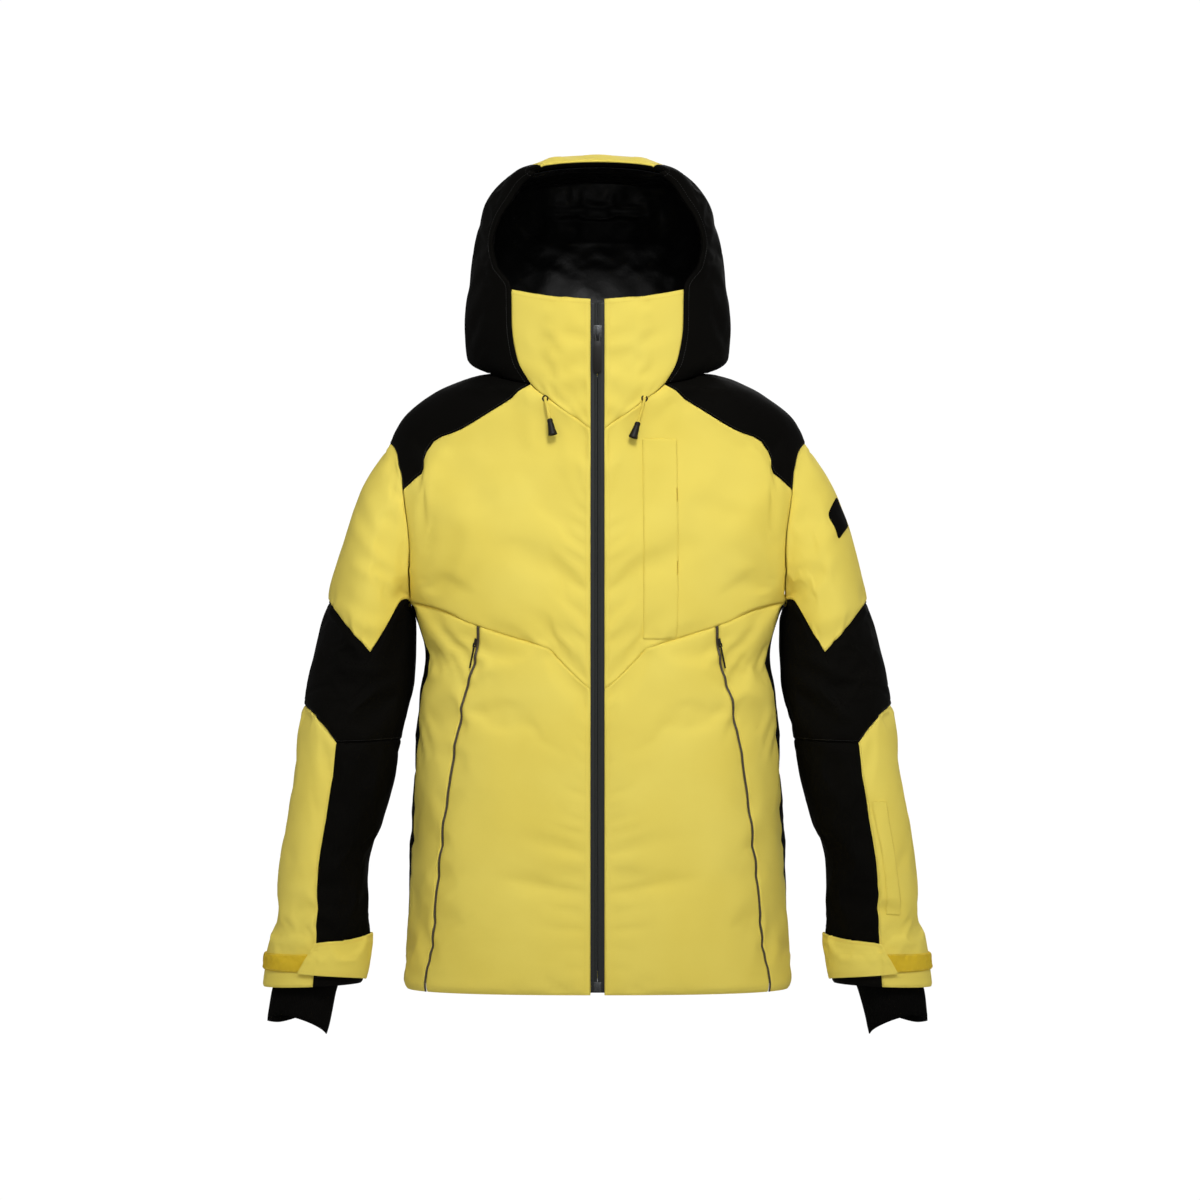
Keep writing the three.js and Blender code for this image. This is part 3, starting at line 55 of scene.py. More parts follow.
# ---- sizes of the jacket, in millimetres ------------------------------------------------------
HEM_Z = -726.0
SHOULDER_TIP_Z = -70.0
UNDERARM_Z = -264.0
SLEEVE_LENGTH = 652.0
ARMHOLE_SPREAD = 0.53
FRONT_LEAN = 0.045
HEM_FRONT = 142.0
SHELL = 2.4
LINING = 1.0
LINING_ROOM = 8.0
ZIP_TOP_Z = 97.0
ZIP_OPENING = 16.6
LAYER_GAP = 1.2
STRIP = 2.0
FLAP = 2.2
COLLAR_HALF = 80.0
CORD = 3.5


# ---- camera -----------------------------------------------------------------------------------
VIEW_HEIGHT = -0.258
VIEW_ASIDE = 0.003
VIEW_DISTANCE = 6.0
FRONT_PLANE = -0.06


def add_camera():
    data = bpy.data.cameras.new("camera")
    data.lens = 150
    data.sensor_width = 36
    data.clip_end = 50
    camera = bpy.data.objects.new("camera", data)
    camera.location = (VIEW_ASIDE, FRONT_PLANE - VIEW_DISTANCE, VIEW_HEIGHT)
    camera.rotation_euler = (math.pi / 2, 0, 0)
    bpy.context.collection.objects.link(camera)
    bpy.context.scene.camera = camera


add_camera()


# ---- materials --------------------------------------------------------------------------------
def node_group(name, inputs, outputs):
    """An empty shader group with named float inputs {name: default} and outputs {name: socket type}."""
    group = bpy.data.node_groups.new(name, "ShaderNodeTree")
    for socket, default in inputs.items():
        item = group.interface.new_socket(name=socket, in_out="INPUT", socket_type="NodeSocketFloat")
        item.default_value = default
    for socket, kind in outputs.items():
        group.interface.new_socket(name=socket, in_out="OUTPUT", socket_type=kind)
    return group, group.nodes.new("NodeGroupInput"), group.nodes.new("NodeGroupOutput")


def math_node(tree, operation, a, b):
    node = tree.nodes.new("ShaderNodeMath")
    node.operation = operation
    for socket, value in zip(node.inputs, (a, b)):
        if isinstance(value, (int, float)):
            socket.default_value = value
        else:
            tree.links.new(value, socket)
    return node.outputs[0]


def scaled_coordinates(tree, scale):
    place = tree.nodes.new("ShaderNodeTexCoord")
    spread = tree.nodes.new("ShaderNodeVectorMath")
    spread.operation = "SCALE"
    tree.links.new(place.outputs["Object"], spread.inputs[0])
    if isinstance(scale, (int, float)):
        spread.inputs["Scale"].default_value = scale
    else:
        tree.links.new(scale, spread.inputs["Scale"])
    return spread.outputs[0]


def noise_node(tree, vector, scale, detail=2.0, roughness=0.5):
    node = tree.nodes.new("ShaderNodeTexNoise")
    node.inputs["Scale"].default_value = scale
    node.inputs["Detail"].default_value = detail
    node.inputs["Roughness"].default_value = roughness
    tree.links.new(vector, node.inputs["Vector"])
    return node.outputs["Fac"]


def weave_group():
    """A plain weave: crossing threads with uneven thickness, and a slow drift over the cloth."""
    group, given, made = node_group(
        "weave", {"Threads": 900.0, "Slub": 0.35}, {"Height": "NodeSocketFloat", "Drift": "NodeSocketFloat"})
    threads = scaled_coordinates(group, given.outputs["Threads"])
    waves = []
    for direction in ("X", "Z"):
        wave = group.nodes.new("ShaderNodeTexWave")
        wave.bands_direction = direction
        wave.inputs["Scale"].default_value = 0.5
        wave.inputs["Distortion"].default_value = 0.6
        group.links.new(threads, wave.inputs["Vector"])
        waves.append(wave.outputs["Fac"])
    crossing = math_node(group, "MAXIMUM", waves[0], waves[1])
    uneven = noise_node(group, threads, 0.9, 2.0)
    slub = math_node(group, "MULTIPLY", uneven, given.outputs["Slub"])
    group.links.new(math_node(group, "ADD", crossing, slub), made.inputs["Height"])
    metres = scaled_coordinates(group, 1.0)
    group.links.new(noise_node(group, metres, 9.0, 3.0), made.inputs["Drift"])
    return group


def crease_group():
    """The small soft unevenness of padded cloth."""
    group, given, made = node_group("creases", {"Scale": 40.0}, {"Height": "NodeSocketFloat"})
    vector = scaled_coordinates(group, given.outputs["Scale"])
    group.links.new(noise_node(group, vector, 1.0, 4.0, 0.55), made.inputs["Height"])
    return group


WEAVE = weave_group()
CREASES = crease_group()


def group_node(tree, group, **values):
    node = tree.nodes.new("ShaderNodeGroup")
    node.node_tree = group
    for name, value in values.items():
        node.inputs[name].default_value = value
    return node


def bump_node(tree, height, strength, distance, normal=None):
    node = tree.nodes.new("ShaderNodeBump")
    node.inputs["Strength"].default_value = strength
    node.inputs["Distance"].default_value = distance
    tree.links.new(height, node.inputs["Height"])
    if normal is not None:
        tree.links.new(normal, node.inputs["Normal"])
    return node.outputs["Normal"]


def ramp_node(tree, factor, low, high, ends=(0.3, 0.7)):
    node = tree.nodes.new("ShaderNodeValToRGB")
    node.color_ramp.elements[0].position = ends[0]
    node.color_ramp.elements[1].position = ends[1]
    node.color_ramp.elements[0].color = (*low, 1)
    node.color_ramp.elements[1].color = (*high, 1)
    tree.links.new(factor, node.inputs["Fac"])
    return node.outputs["Color"]


def new_material(name, roughness, metallic=0.0, sheen=0.0, specular=0.5):
    material = bpy.data.materials.new(name)
    material.use_nodes = True
    shader = material.node_tree.nodes["Principled BSDF"]
    shader.inputs["Roughness"].default_value = roughness
    shader.inputs["Metallic"].default_value = metallic
    shader.inputs["Sheen Weight"].default_value = sheen
    shader.inputs["Specular IOR Level"].default_value = specular
    return material, material.node_tree, shader


def cloth_material(name, low, high, roughness=0.8, threads=900.0, weave_depth=0.00012, crease_depth=0.0006,
                   crease_scale=40.0, sheen=0.0, specular=0.3):
    material, tree, shader = new_material(name, roughness, sheen=sheen, specular=specular)
    weave = group_node(tree, WEAVE, Threads=threads)
    creases = group_node(tree, CREASES, Scale=crease_scale)
    soft = bump_node(tree, creases.outputs["Height"], 0.5, crease_depth)
    tree.links.new(bump_node(tree, weave.outputs["Height"], 0.5, weave_depth, soft), shader.inputs["Normal"])
    tree.links.new(ramp_node(tree, weave.outputs["Drift"], low, high), shader.inputs["Base Color"])
    return material


def plain_material(name, low, high, roughness, metallic=0.0, grain=900.0, depth=0.00005, specular=0.5):
    material, tree, shader = new_material(name, roughness, metallic, specular=specular)
    grains = noise_node(tree, scaled_coordinates(tree, grain), 1.0, 3.0)
    tree.links.new(ramp_node(tree, grains, low, high), shader.inputs["Base Color"])
    tree.links.new(bump_node(tree, grains, 0.4, depth), shader.inputs["Normal"])
    return material


def dashed_material(name):
    """Dark piping with a light reflective core that shows as short dashes along it."""
    material, tree, shader = new_material(name, 0.45)
    wave = tree.nodes.new("ShaderNodeTexWave")
    wave.bands_direction = "Z"
    wave.inputs["Scale"].default_value = 0.5
    wave.inputs["Distortion"].default_value = 1.5
    tree.links.new(scaled_coordinates(tree, 420.0), wave.inputs["Vector"])
    colour = ramp_node(tree, wave.outputs["Fac"], (0.022, 0.016, 0.008), (0.13, 0.10, 0.06), (0.35, 0.8))
    tree.links.new(colour, shader.inputs["Base Color"])
    tree.links.new(bump_node(tree, wave.outputs["Fac"], 0.3, 0.0002), shader.inputs["Normal"])
    return material


MATERIALS = {
    "shell_yellow": cloth_material("shell_yellow", (0.83, 0.665, 0.105), (0.87, 0.715, 0.13)),
    "shell_black": cloth_material("shell_black", (0.0016, 0.0014, 0.001), (0.0028, 0.0025, 0.0018),
                                  specular=0.05),
    "lining_gloss": cloth_material("lining_gloss", (0.0025, 0.0025, 0.0025), (0.004, 0.004, 0.004), 0.36,
                                   1400.0, 0.00003, 0.0015, 60.0, specular=0.25),
    "knit_black": cloth_material("knit_black", (0.0018, 0.0016, 0.0013), (0.0034, 0.003, 0.0026), 0.9,
                                 600.0, 0.0003, 0.0004, specular=0.06),
    "loop_tape": cloth_material("loop_tape", (0.70, 0.46, 0.02), (0.80, 0.56, 0.035), 0.95,
                                500.0, 0.0006, 0.0008, 180.0, specular=0.2),
    "zip_tape": plain_material("zip_tape", (0.011, 0.012, 0.0115), (0.018, 0.020, 0.0195), 0.45,
                               specular=0.3),
    "piping_reflective": dashed_material("piping_reflective"),
    "zip_metal": plain_material("zip_metal", (0.035, 0.037, 0.038), (0.09, 0.092, 0.094), 0.42, 0.8),
    "soft_black": plain_material("soft_black", (0.006, 0.005, 0.004), (0.010, 0.008, 0.006), 0.5,
                                 specular=0.25),
    "cord_yellow": cloth_material("cord_yellow", (0.78, 0.60, 0.08), (0.86, 0.69, 0.12), 0.75,
                                  1500.0, 0.0002, 0.0002, 300.0),
}
THREAD_YELLOW = plain_material("thread_yellow", (0.74, 0.57, 0.07), (0.84, 0.68, 0.12), 0.6)
THREAD_BLACK = plain_material("thread_black", (0.006, 0.006, 0.005), (0.012, 0.011, 0.01), 0.6)


# ---- meshes -----------------------------------------------------------------------------------
def add_mesh(name, points, faces, material, smooth=True):
    """A mesh object from points in millimetres."""
    mesh = bpy.data.meshes.new(name)
    mesh.from_pydata((np.asarray(points, float) * MM).tolist(), [], faces)
    mesh.validate()
    mesh.materials.append(material)
    mesh.polygons.foreach_set("use_smooth", [smooth] * len(mesh.polygons))
    piece = bpy.data.objects.new(name, mesh)
    bpy.context.collection.objects.link(piece)
    return piece


def closed_sheet(outer, inner):
    """Points and faces of a closed solid between two grids of points, outer and inner."""
    high, wide = outer.shape[:2]
    count = high * wide
    at = np.arange(count).reshape(high, wide)
    quads = np.stack([at[:-1, :-1], at[:-1, 1:], at[1:, 1:], at[1:, :-1]], -1).reshape(-1, 4)
    back = quads[:, ::-1] + count
    rim = np.concatenate([at[0, :-1], at[:-1, -1], at[-1, :0:-1], at[:0:-1, 0]])
    ahead = np.roll(rim, -1)
    walls = np.stack([ahead, rim, rim + count, ahead + count], -1)
    faces = np.concatenate([quads, back, walls]).tolist()
    return np.concatenate([outer.reshape(-1, 3), inner.reshape(-1, 3)]), faces


def finish(piece, node, body=None):
    """Lets a piece stand for a CAD node and ride with it: hides the node and parents the piece to its body.
    """
    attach(piece, body or BODY_OF[node])
    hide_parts(node)
    return piece


# ---- curves and surfaces ----------------------------------------------------------------------
def curve(rows):
    """A smooth curve through rows of (position, value), with no overshoot between them."""
    rows = sorted(rows)
    x = np.array([row[0] for row in rows], float)
    y = np.array([row[1] for row in rows], float)
    rise = np.diff(y) / np.diff(x)
    slope = np.empty_like(y)
    slope[0], slope[-1] = rise[0], rise[-1]
    before, after = rise[:-1], rise[1:]
    same = before * after > 0
    total = np.where(same, before + after, 1)
    slope[1:-1] = np.where(same, 2 * before * after / total, 0)

    def value(at):
        p = np.clip(np.asarray(at, float), x[0], x[-1])
        i = np.clip(np.searchsorted(x, p) - 1, 0, len(x) - 2)
        span = x[i + 1] - x[i]
        u = (p - x[i]) / span
        low = (2 * u**3 - 3 * u**2 + 1) * y[i] + (u**3 - 2 * u**2 + u) * span * slope[i]
        return low + (3 * u**2 - 2 * u**3) * y[i + 1] + (u**3 - u**2) * span * slope[i + 1]

    return value


half_width = curve([
    (18, 122), (14, 131), (2, 169), (-12, 198), (-42, 235), (-70, 250), (-100, 260), (-140, 262),
    (-200, 248), (-264, 226), (-330, 211), (-378, 216), (-500, 222), (-640, 227), (-726, 232)])
squareness = curve([(18, 2), (0, 1.8), (-60, 1.75), (-140, 2.15), (-264, 2.4), (-726, 2.5)])
back_y = curve([(18, 90), (-5, 100), (-60, 112), (-130, 128), (-264, 125), (-440, 108), (-726, 120)])
side_y = curve([(18, 5), (-70, 10), (-264, 0), (-726, -5)])


def front_y(z):
    return -HEM_FRONT + FRONT_LEAN * (z - HEM_Z)


def body(place):
    phi, z = place[..., 0], place[..., 1]
    power = 2 / squareness(z)
    across, along = np.sin(phi), np.cos(phi)
    reach = np.where(along > 0, front_y(z), back_y(z)) - side_y(z)
    x = half_width(z) * np.sign(across) * np.abs(across) ** power
    return np.stack([x, side_y(z) + reach * np.abs(along) ** power, z], -1)


def on_front(x, z):
    share = np.minimum(x / half_width(z), 1)
    return np.array([np.arcsin(share ** (squareness(z) / 2)), z])


def armhole(theta):
    theta = np.asarray(theta, float)
    middle, reach = (SHOULDER_TIP_Z + UNDERARM_Z) / 2, (SHOULDER_TIP_Z - UNDERARM_Z) / 2
    z = middle + reach * np.cos(theta)
    share = ARMHOLE_SPREAD * np.abs(np.sin(theta))
    phi = np.arccos(share ** (squareness(z) / 2))
    return np.stack([np.where(np.sin(theta) >= 0, phi, math.pi - phi), z], -1)


SLEEVE_ROWS = [
    # outer drop, outer out, inner drop, inner out, half depth, forward
    (0, 0, 0, 0, 62, 5), (0.071, 28, 0.009, 0, 67, 5), (0.156, 50, 0.022, -1, 72, 5),
    (0.248, 68, 0.048, -3, 75, 4), (0.344, 84, 0.096, -4, 77, 3), (0.433, 97, 0.193, -3, 76, 0),
    (0.518, 108, 0.307, 8, 73, -6), (0.62, 117, 0.447, 20, 69, -14), (0.706, 125, 0.57, 34, 65, -21),
    (0.785, 132, 0.684, 47, 61, -28), (0.874, 138, 0.816, 51, 58, -34), (0.936, 146, 0.908, 52, 55, -38),
    (1, 153, 1, 57, 53, -42)]
CUFF_T = len(SLEEVE_ROWS) - 1
ARMHOLE_FADE_T = 2.5
INNER_LENGTH = SLEEVE_LENGTH - (SHOULDER_TIP_Z - UNDERARM_Z) - 4
outer_drop, outer_out, inner_drop, inner_out, sleeve_depth, sleeve_forward = (
    curve([(t, row[k]) for t, row in enumerate(SLEEVE_ROWS)]) for k in range(6))


def sleeve_ring(theta, t):
    out_x = half_width(SHOULDER_TIP_Z) + outer_out(t)
    out_z = SHOULDER_TIP_Z - outer_drop(t) * SLEEVE_LENGTH
    in_x = half_width(UNDERARM_Z) + inner_out(t)
    in_z = UNDERARM_Z - inner_drop(t) * INNER_LENGTH
    c = np.cos(theta)
    x = (out_x + in_x) / 2 + (out_x - in_x) / 2 * c
    z = (out_z + in_z) / 2 + (out_z - in_z) / 2 * c
    return np.stack([x, sleeve_forward(t) - sleeve_depth(t) * np.sin(theta), z], -1)


def sleeve(place):
    theta, t = place[..., 0], place[..., 1]
    fade = np.clip(1 - t / ARMHOLE_FADE_T, 0, 1)[..., None] ** 2
    return sleeve_ring(theta, t) + fade * (body(armhole(theta)) - sleeve_ring(theta, 0 * t))


HOOD_ROWS = [
    # centre y, centre z, edge x, edge y, edge z, widest half
    (96, 14, 80, -92, 0, 124), (116, 48, 96, -89, 28, 155), (134, 90, 103, -85, 70, 158),
    (141, 134, 104, -80, 114, 153), (134, 180, 122, -68, 142, 148), (108, 222, 128, -63, 170, 142),
    (60, 262, 120, -66, 198, 132), (4, 274, 104, -74, 222, 115), (-52, 273, 90, -84, 240, 100),
    (-98, 267, 74, -94, 251, 81)]
BRIM_T = len(HOOD_ROWS) - 1
COLLAR_T = 3
NECK_FADE_T = 1.2
crown_y, crown_z, edge_x, edge_y, edge_z, hood_half = (
    curve([(t, row[k]) for t, row in enumerate(HOOD_ROWS)]) for k in range(6))
COLLAR_CORNER = on_front(COLLAR_HALF, 0)
neck_z = curve([(COLLAR_CORNER[0], 0), (50 * DEG, 8), (70 * DEG, 14), (90 * DEG, 16), (math.pi, 14)])


def hood_ring(s, t):
    wide = edge_x(t) / hood_half(t)
    back_share = np.sqrt(1 - wide**2)
    middle = back_share / (1 + back_share)
    turn = np.abs(s) * (math.pi - np.arcsin(wide))
    c = np.cos(turn)
    reach = np.where(c > 0, middle + (1 - middle) * c, middle * (1 + c / back_share))
    y = edge_y(t) + (crown_y(t) - edge_y(t)) * reach
    z = edge_z(t) + (crown_z(t) - edge_z(t)) * reach
    return np.stack([np.sign(s) * hood_half(t) * np.sin(turn), y, z], -1)


def neck_at(s):
    phi = math.pi - np.abs(s) * (math.pi - COLLAR_CORNER[0])
    seat = body(np.stack([phi, neck_z(phi)], -1))
    seat[..., 0] *= np.where(s < 0, -1, 1)
    return seat


def hood(place):
    s, t = place[..., 0], place[..., 1]
    fade = np.clip(1 - t / NECK_FADE_T, 0, 1)[..., None] ** 2
    return hood_ring(s, t) + fade * (neck_at(s) - hood_ring(s, 0 * t))


# ---- seams ------------------------------------------------------------------------------------
SIDE_REACH = 150.0


def smooth_path(points, fine=40):
    """Many points on a centripetal Catmull-Rom curve through a few."""
    points = np.asarray(points, float)
    ends = [2 * points[0] - points[1], 2 * points[-1] - points[-2]]
    all_points = np.vstack([ends[0], points, ends[1]])
    steps = np.linalg.norm(np.diff(all_points, axis=0), axis=1) ** 0.5
    made = []
    for k in range(1, len(all_points) - 2):
        p0, p1, p2, p3 = all_points[k - 1:k + 3]
        a, b, c = steps[k - 1:k + 2]
        leave = ((p1 - p0) / a - (p2 - p0) / (a + b) + (p2 - p1) / b) * b
        arrive = ((p2 - p1) / b - (p3 - p1) / (b + c) + (p3 - p2) / c) * b
        u = np.linspace(0, 1, fine, endpoint=False)[:, None]
        made.append((2 * u**3 - 3 * u**2 + 1) * p1 + (u**3 - 2 * u**2 + u) * leave
                    + (3 * u**2 - 2 * u**3) * p2 + (u**3 - u**2) * arrive)
    return np.vstack([*made, points[-1:]])


def even(points, count):
    """Evenly spaced points along a path."""
    reach = np.concatenate([[0], np.cumsum(np.linalg.norm(np.diff(points, axis=0), axis=1))])
    at = np.linspace(0, reach[-1], count + 1)
    return np.stack([np.interp(at, reach, points[:, k]) for k in range(points.shape[1])], -1)


def seam(places, count):
    stretch = np.array([SIDE_REACH, 1.0])
    return even(smooth_path(np.array(places) * stretch), count) / stretch


def straight(start, end, count):
    share = np.linspace(0, 1, count + 1)[:, None]
    return np.asarray(start, float) * (1 - share) + np.asarray(end, float) * share


def joined(*lines):
    return np.concatenate([lines[0], *[line[1:] for line in lines[1:]]])


def across_back(line):
    return np.stack([2 * math.pi - line[:, 0], line[:, 1]], -1)


def between(bottom, top, left, right, lift=1):
    """Rows of places between four edges. A lift over 1 keeps the top edge's bends to the rows near it."""
    u = np.linspace(0, 1, len(bottom))[None, :, None]
    v = np.linspace(0, 1, len(left))[:, None, None]
    low = bottom[None] - (1 - u) * bottom[0] - u * bottom[-1]
    high = top[None] - (1 - u) * top[0] - u * top[-1]
    return (1 - u) * left[:, None] + u * right[:, None] + (1 - v) * low + v**lift * high


LOW_ROWS, CHEST_ROWS, V_INNER, V_OUTER = 48, 30, 18, 9
COLLAR_STEPS, YOKE_STEPS, SHOULDER_STEPS, NAPE_STEPS = 10, 17, 15, 36
BACK_ARM_STEPS, LOW_BACK_ARM_STEPS, UNDERARM_STEPS, UNDER_STEPS = 8, 15, 12, 5
UPPER_ROWS, ELBOW_ROWS, FOREARM_ROWS, FOREARM_STEPS = 22, 26, 38, 30
COLLAR_ROWS, CROWN_ROWS, HOOD_CENTRE_STEPS = 13, 34, 12
CHEST_TURN, YOKE_TURN, SHOULDER_TURN = 159.7 * DEG, 65.7 * DEG, -12 * DEG
BACK_YOKE_TURN, SIDE_BACK_TURN = -61 * DEG, -149 * DEG
V_POINT_Z = -364.0
NECK_FRONT_Z = -54.0


def at_opening(z, x=ZIP_OPENING / 2):
    return on_front(x, z)


def down_opening(start, end, count, x=ZIP_OPENING / 2):
    return np.array([on_front(x, z) for z in np.linspace(start, end, count + 1)])


def round_arm(start, end, count):
    return armhole(np.linspace(start, end, count + 1))


piping_top = on_front(142, -290)
opening_low = down_opening(HEM_Z, V_POINT_Z, LOW_ROWS)
opening_chest = down_opening(V_POINT_Z, NECK_FRONT_Z, CHEST_ROWS)
v_inner = seam([at_opening(V_POINT_Z), on_front(48, -328), on_front(58, -318), on_front(72, -313),
                piping_top], V_INNER)
v_outer = seam([piping_top, on_front(185, -273), armhole(CHEST_TURN)], V_OUTER)
piping = seam([on_front(206, -726), on_front(203, -695), on_front(197, -650), on_front(191, -575),
               on_front(180, -490), on_front(160, -375), piping_top], LOW_ROWS)
side_front = seam([(95 * DEG, HEM_Z), (90 * DEG, -624), (84 * DEG, -500), (79 * DEG, -378),
                   (75 * DEG, -330), armhole(CHEST_TURN)], LOW_ROWS)
side_back = seam([(122 * DEG, HEM_Z), (119 * DEG, -500), (114 * DEG, -350), armhole(SIDE_BACK_TURN)],
                 LOW_ROWS)
neck_front = seam([at_opening(NECK_FRONT_Z), on_front(58, -18), COLLAR_CORNER], COLLAR_STEPS)
yoke_front = seam([COLLAR_CORNER, on_front(115, -25), on_front(163, -56), on_front(194, -68),
                   on_front(205, -82), on_front(209, -104), armhole(YOKE_TURN)], YOKE_STEPS)
shoulder_phi = float(armhole(SHOULDER_TURN)[0])


def neck_line(start, end, count):
    phi = np.linspace(start, end, count + 1)
    return np.stack([phi, neck_z(np.minimum(phi, 2 * math.pi - phi))], -1)


neck_side = neck_line(COLLAR_CORNER[0], shoulder_phi, SHOULDER_STEPS)
nape = neck_line(shoulder_phi, 2 * math.pi - shoulder_phi, NAPE_STEPS)
shoulder_seam = straight(nape[0], armhole(SHOULDER_TURN), YOKE_STEPS)
back_yoke_line = seam([
    armhole(BACK_YOKE_TURN), (140 * DEG, -146), (math.pi, -162), (220 * DEG, -146),
    across_back(armhole(BACK_YOKE_TURN)[None])[0]], 2 * YOKE_STEPS + NAPE_STEPS)
CHEST_TURNS = np.interp(np.linspace(0, 6, CHEST_ROWS + 1), range(7),
                        [159.7, 144, 128, 112, 98, 82, 65.7]) * DEG
arm_chest = armhole(CHEST_TURNS)
arm_yoke = round_arm(YOKE_TURN, SHOULDER_TURN, SHOULDER_STEPS)
arm_back_yoke = round_arm(BACK_YOKE_TURN, SHOULDER_TURN, BACK_ARM_STEPS)
arm_back = round_arm(SIDE_BACK_TURN, BACK_YOKE_TURN, LOW_BACK_ARM_STEPS)
arm_under = round_arm(CHEST_TURN, 2 * math.pi + SIDE_BACK_TURN, UNDERARM_STEPS)
side_of_back = joined(side_back, arm_back)

# Sleeve seams, as turns round the arm against the place t along it.
UNDER_T = 0.35
ELBOW_T = 6.35
EDGE_TOP, EDGE_CUFF = 79 * DEG, 93 * DEG
upper_outer = curve([(0, 3.42), (30, 3.5), (57, 3.74), (85, 4.13), (98, 4.37)])
upper_inner = curve([(98, 4.37), (106, 4.06), (120, 3.3), (140, 1.7), (160, 0.5), (180, UNDER_T)])
forearm_top = curve([(0, 5.6), (30, 5.7), (60, 6.05), (79, ELBOW_T)])
arm_turns = joined(
    np.linspace(math.pi, CHEST_TURN, UNDER_STEPS + 1), CHEST_TURNS,
    np.linspace(YOKE_TURN, SHOULDER_TURN, SHOULDER_STEPS + 1),
    np.linspace(SHOULDER_TURN, BACK_YOKE_TURN, BACK_ARM_STEPS + 1),
    np.linspace(BACK_YOKE_TURN, SIDE_BACK_TURN, LOW_BACK_ARM_STEPS + 1),
    np.linspace(SIDE_BACK_TURN, -math.pi, UNDER_STEPS + 1))
turned = np.abs(arm_turns) / DEG
at_arm = np.stack([arm_turns, 0 * arm_turns], -1)
at_upper_edge = np.stack([arm_turns, np.where(turned < 98, upper_outer(turned), upper_inner(turned))], -1)
INSIDE_STEPS = (len(arm_turns) - 1 - FOREARM_STEPS) // 2
elbow_front = straight((math.pi, ELBOW_T), (EDGE_TOP, ELBOW_T), INSIDE_STEPS)
outer_turns = np.linspace(EDGE_TOP, -EDGE_TOP, FOREARM_STEPS + 1)
elbow_outer = np.stack([outer_turns, forearm_top(np.abs(outer_turns) / DEG)], -1)
elbow_back = straight((-EDGE_TOP, ELBOW_T), (-math.pi, ELBOW_T), INSIDE_STEPS)
forearm_front = straight((EDGE_TOP, ELBOW_T), (EDGE_CUFF, CUFF_T), FOREARM_ROWS)
forearm_back = forearm_front * (-1, 1)
wrapped = np.array([2 * math.pi, 0])
under_top = joined(elbow_back, elbow_front - wrapped)

# Hood seams, as shares s of the half girth against the row t.
HOOD_LEVELS = joined(np.linspace(0, COLLAR_T, COLLAR_ROWS + 1), np.linspace(COLLAR_T, BRIM_T, CROWN_ROWS + 1))
centre_half = curve([(1, 58), (3, 68), (6, 86), (7, 87), (8, 80), (BRIM_T, 68)])
share_of = lambda phi: (math.pi - phi) / (math.pi - COLLAR_CORNER[0])
half_nape = (NAPE_STEPS - HOOD_CENTRE_STEPS) // 2
foot_share = share_of(nape[half_nape][0])


def centre_edge(t):
    share = np.arcsin(centre_half(t) / hood_half(t)) / (math.pi - np.arcsin(edge_x(t) / hood_half(t)))
    return np.where(t < 1, foot_share + (share - foot_share) * t, share)


hood_foot = share_of(joined(nape[:half_nape + 1][::-1], neck_side[::-1])[:, 0])
hood_side_foot = np.stack([hood_foot, 0 * hood_foot], -1)
hood_centre_line = np.stack([centre_edge(HOOD_LEVELS), HOOD_LEVELS], -1)
hood_face_line = np.stack([1 + 0 * HOOD_LEVELS, HOOD_LEVELS], -1)

COLLAR_DIP = 13.0
collar_top_front = np.array([ZIP_OPENING / 2, front_y(ZIP_TOP_Z), edge_z(COLLAR_T) - COLLAR_DIP])
collar_corner_point = hood(np.array([1.0, COLLAR_T]))
foot_reach = np.linspace(0, 1, COLLAR_STEPS + 1)


def collar(place):
    """The collar front, u from the zip to the hood and v from the neck seam up."""
    u, v = place[..., 0], place[..., 1]
    foot = body(np.stack([np.interp(u, foot_reach, neck_front[:, k]) for k in (0, 1)], -1))
    start, corner = body(neck_front[0]), body(neck_front[-1])
    x = collar_top_front[0] + (collar_corner_point[0] - collar_top_front[0]) * u
    y = collar_top_front[1] + (collar_corner_point[1] - collar_top_front[1]) * u**2.4
    top = np.stack([x, y, collar_top_front[2] + COLLAR_DIP * u**1.8], -1)
    front = start + (collar_top_front - start) * v[..., None]
    side = hood(np.stack([1 + 0 * v, COLLAR_T * v], -1))
    u, v = u[..., None], v[..., None]
    ruled = (1 - v) * foot + v * top + (1 - u) * front + u * side
    ends = (1 - v) * ((1 - u) * start + u * corner)
    return ruled - ends - v * ((1 - u) * collar_top_front + u * collar_corner_point)


collar_places = np.stack(np.meshgrid(foot_reach, np.linspace(0, 1, COLLAR_ROWS + 1)), -1)

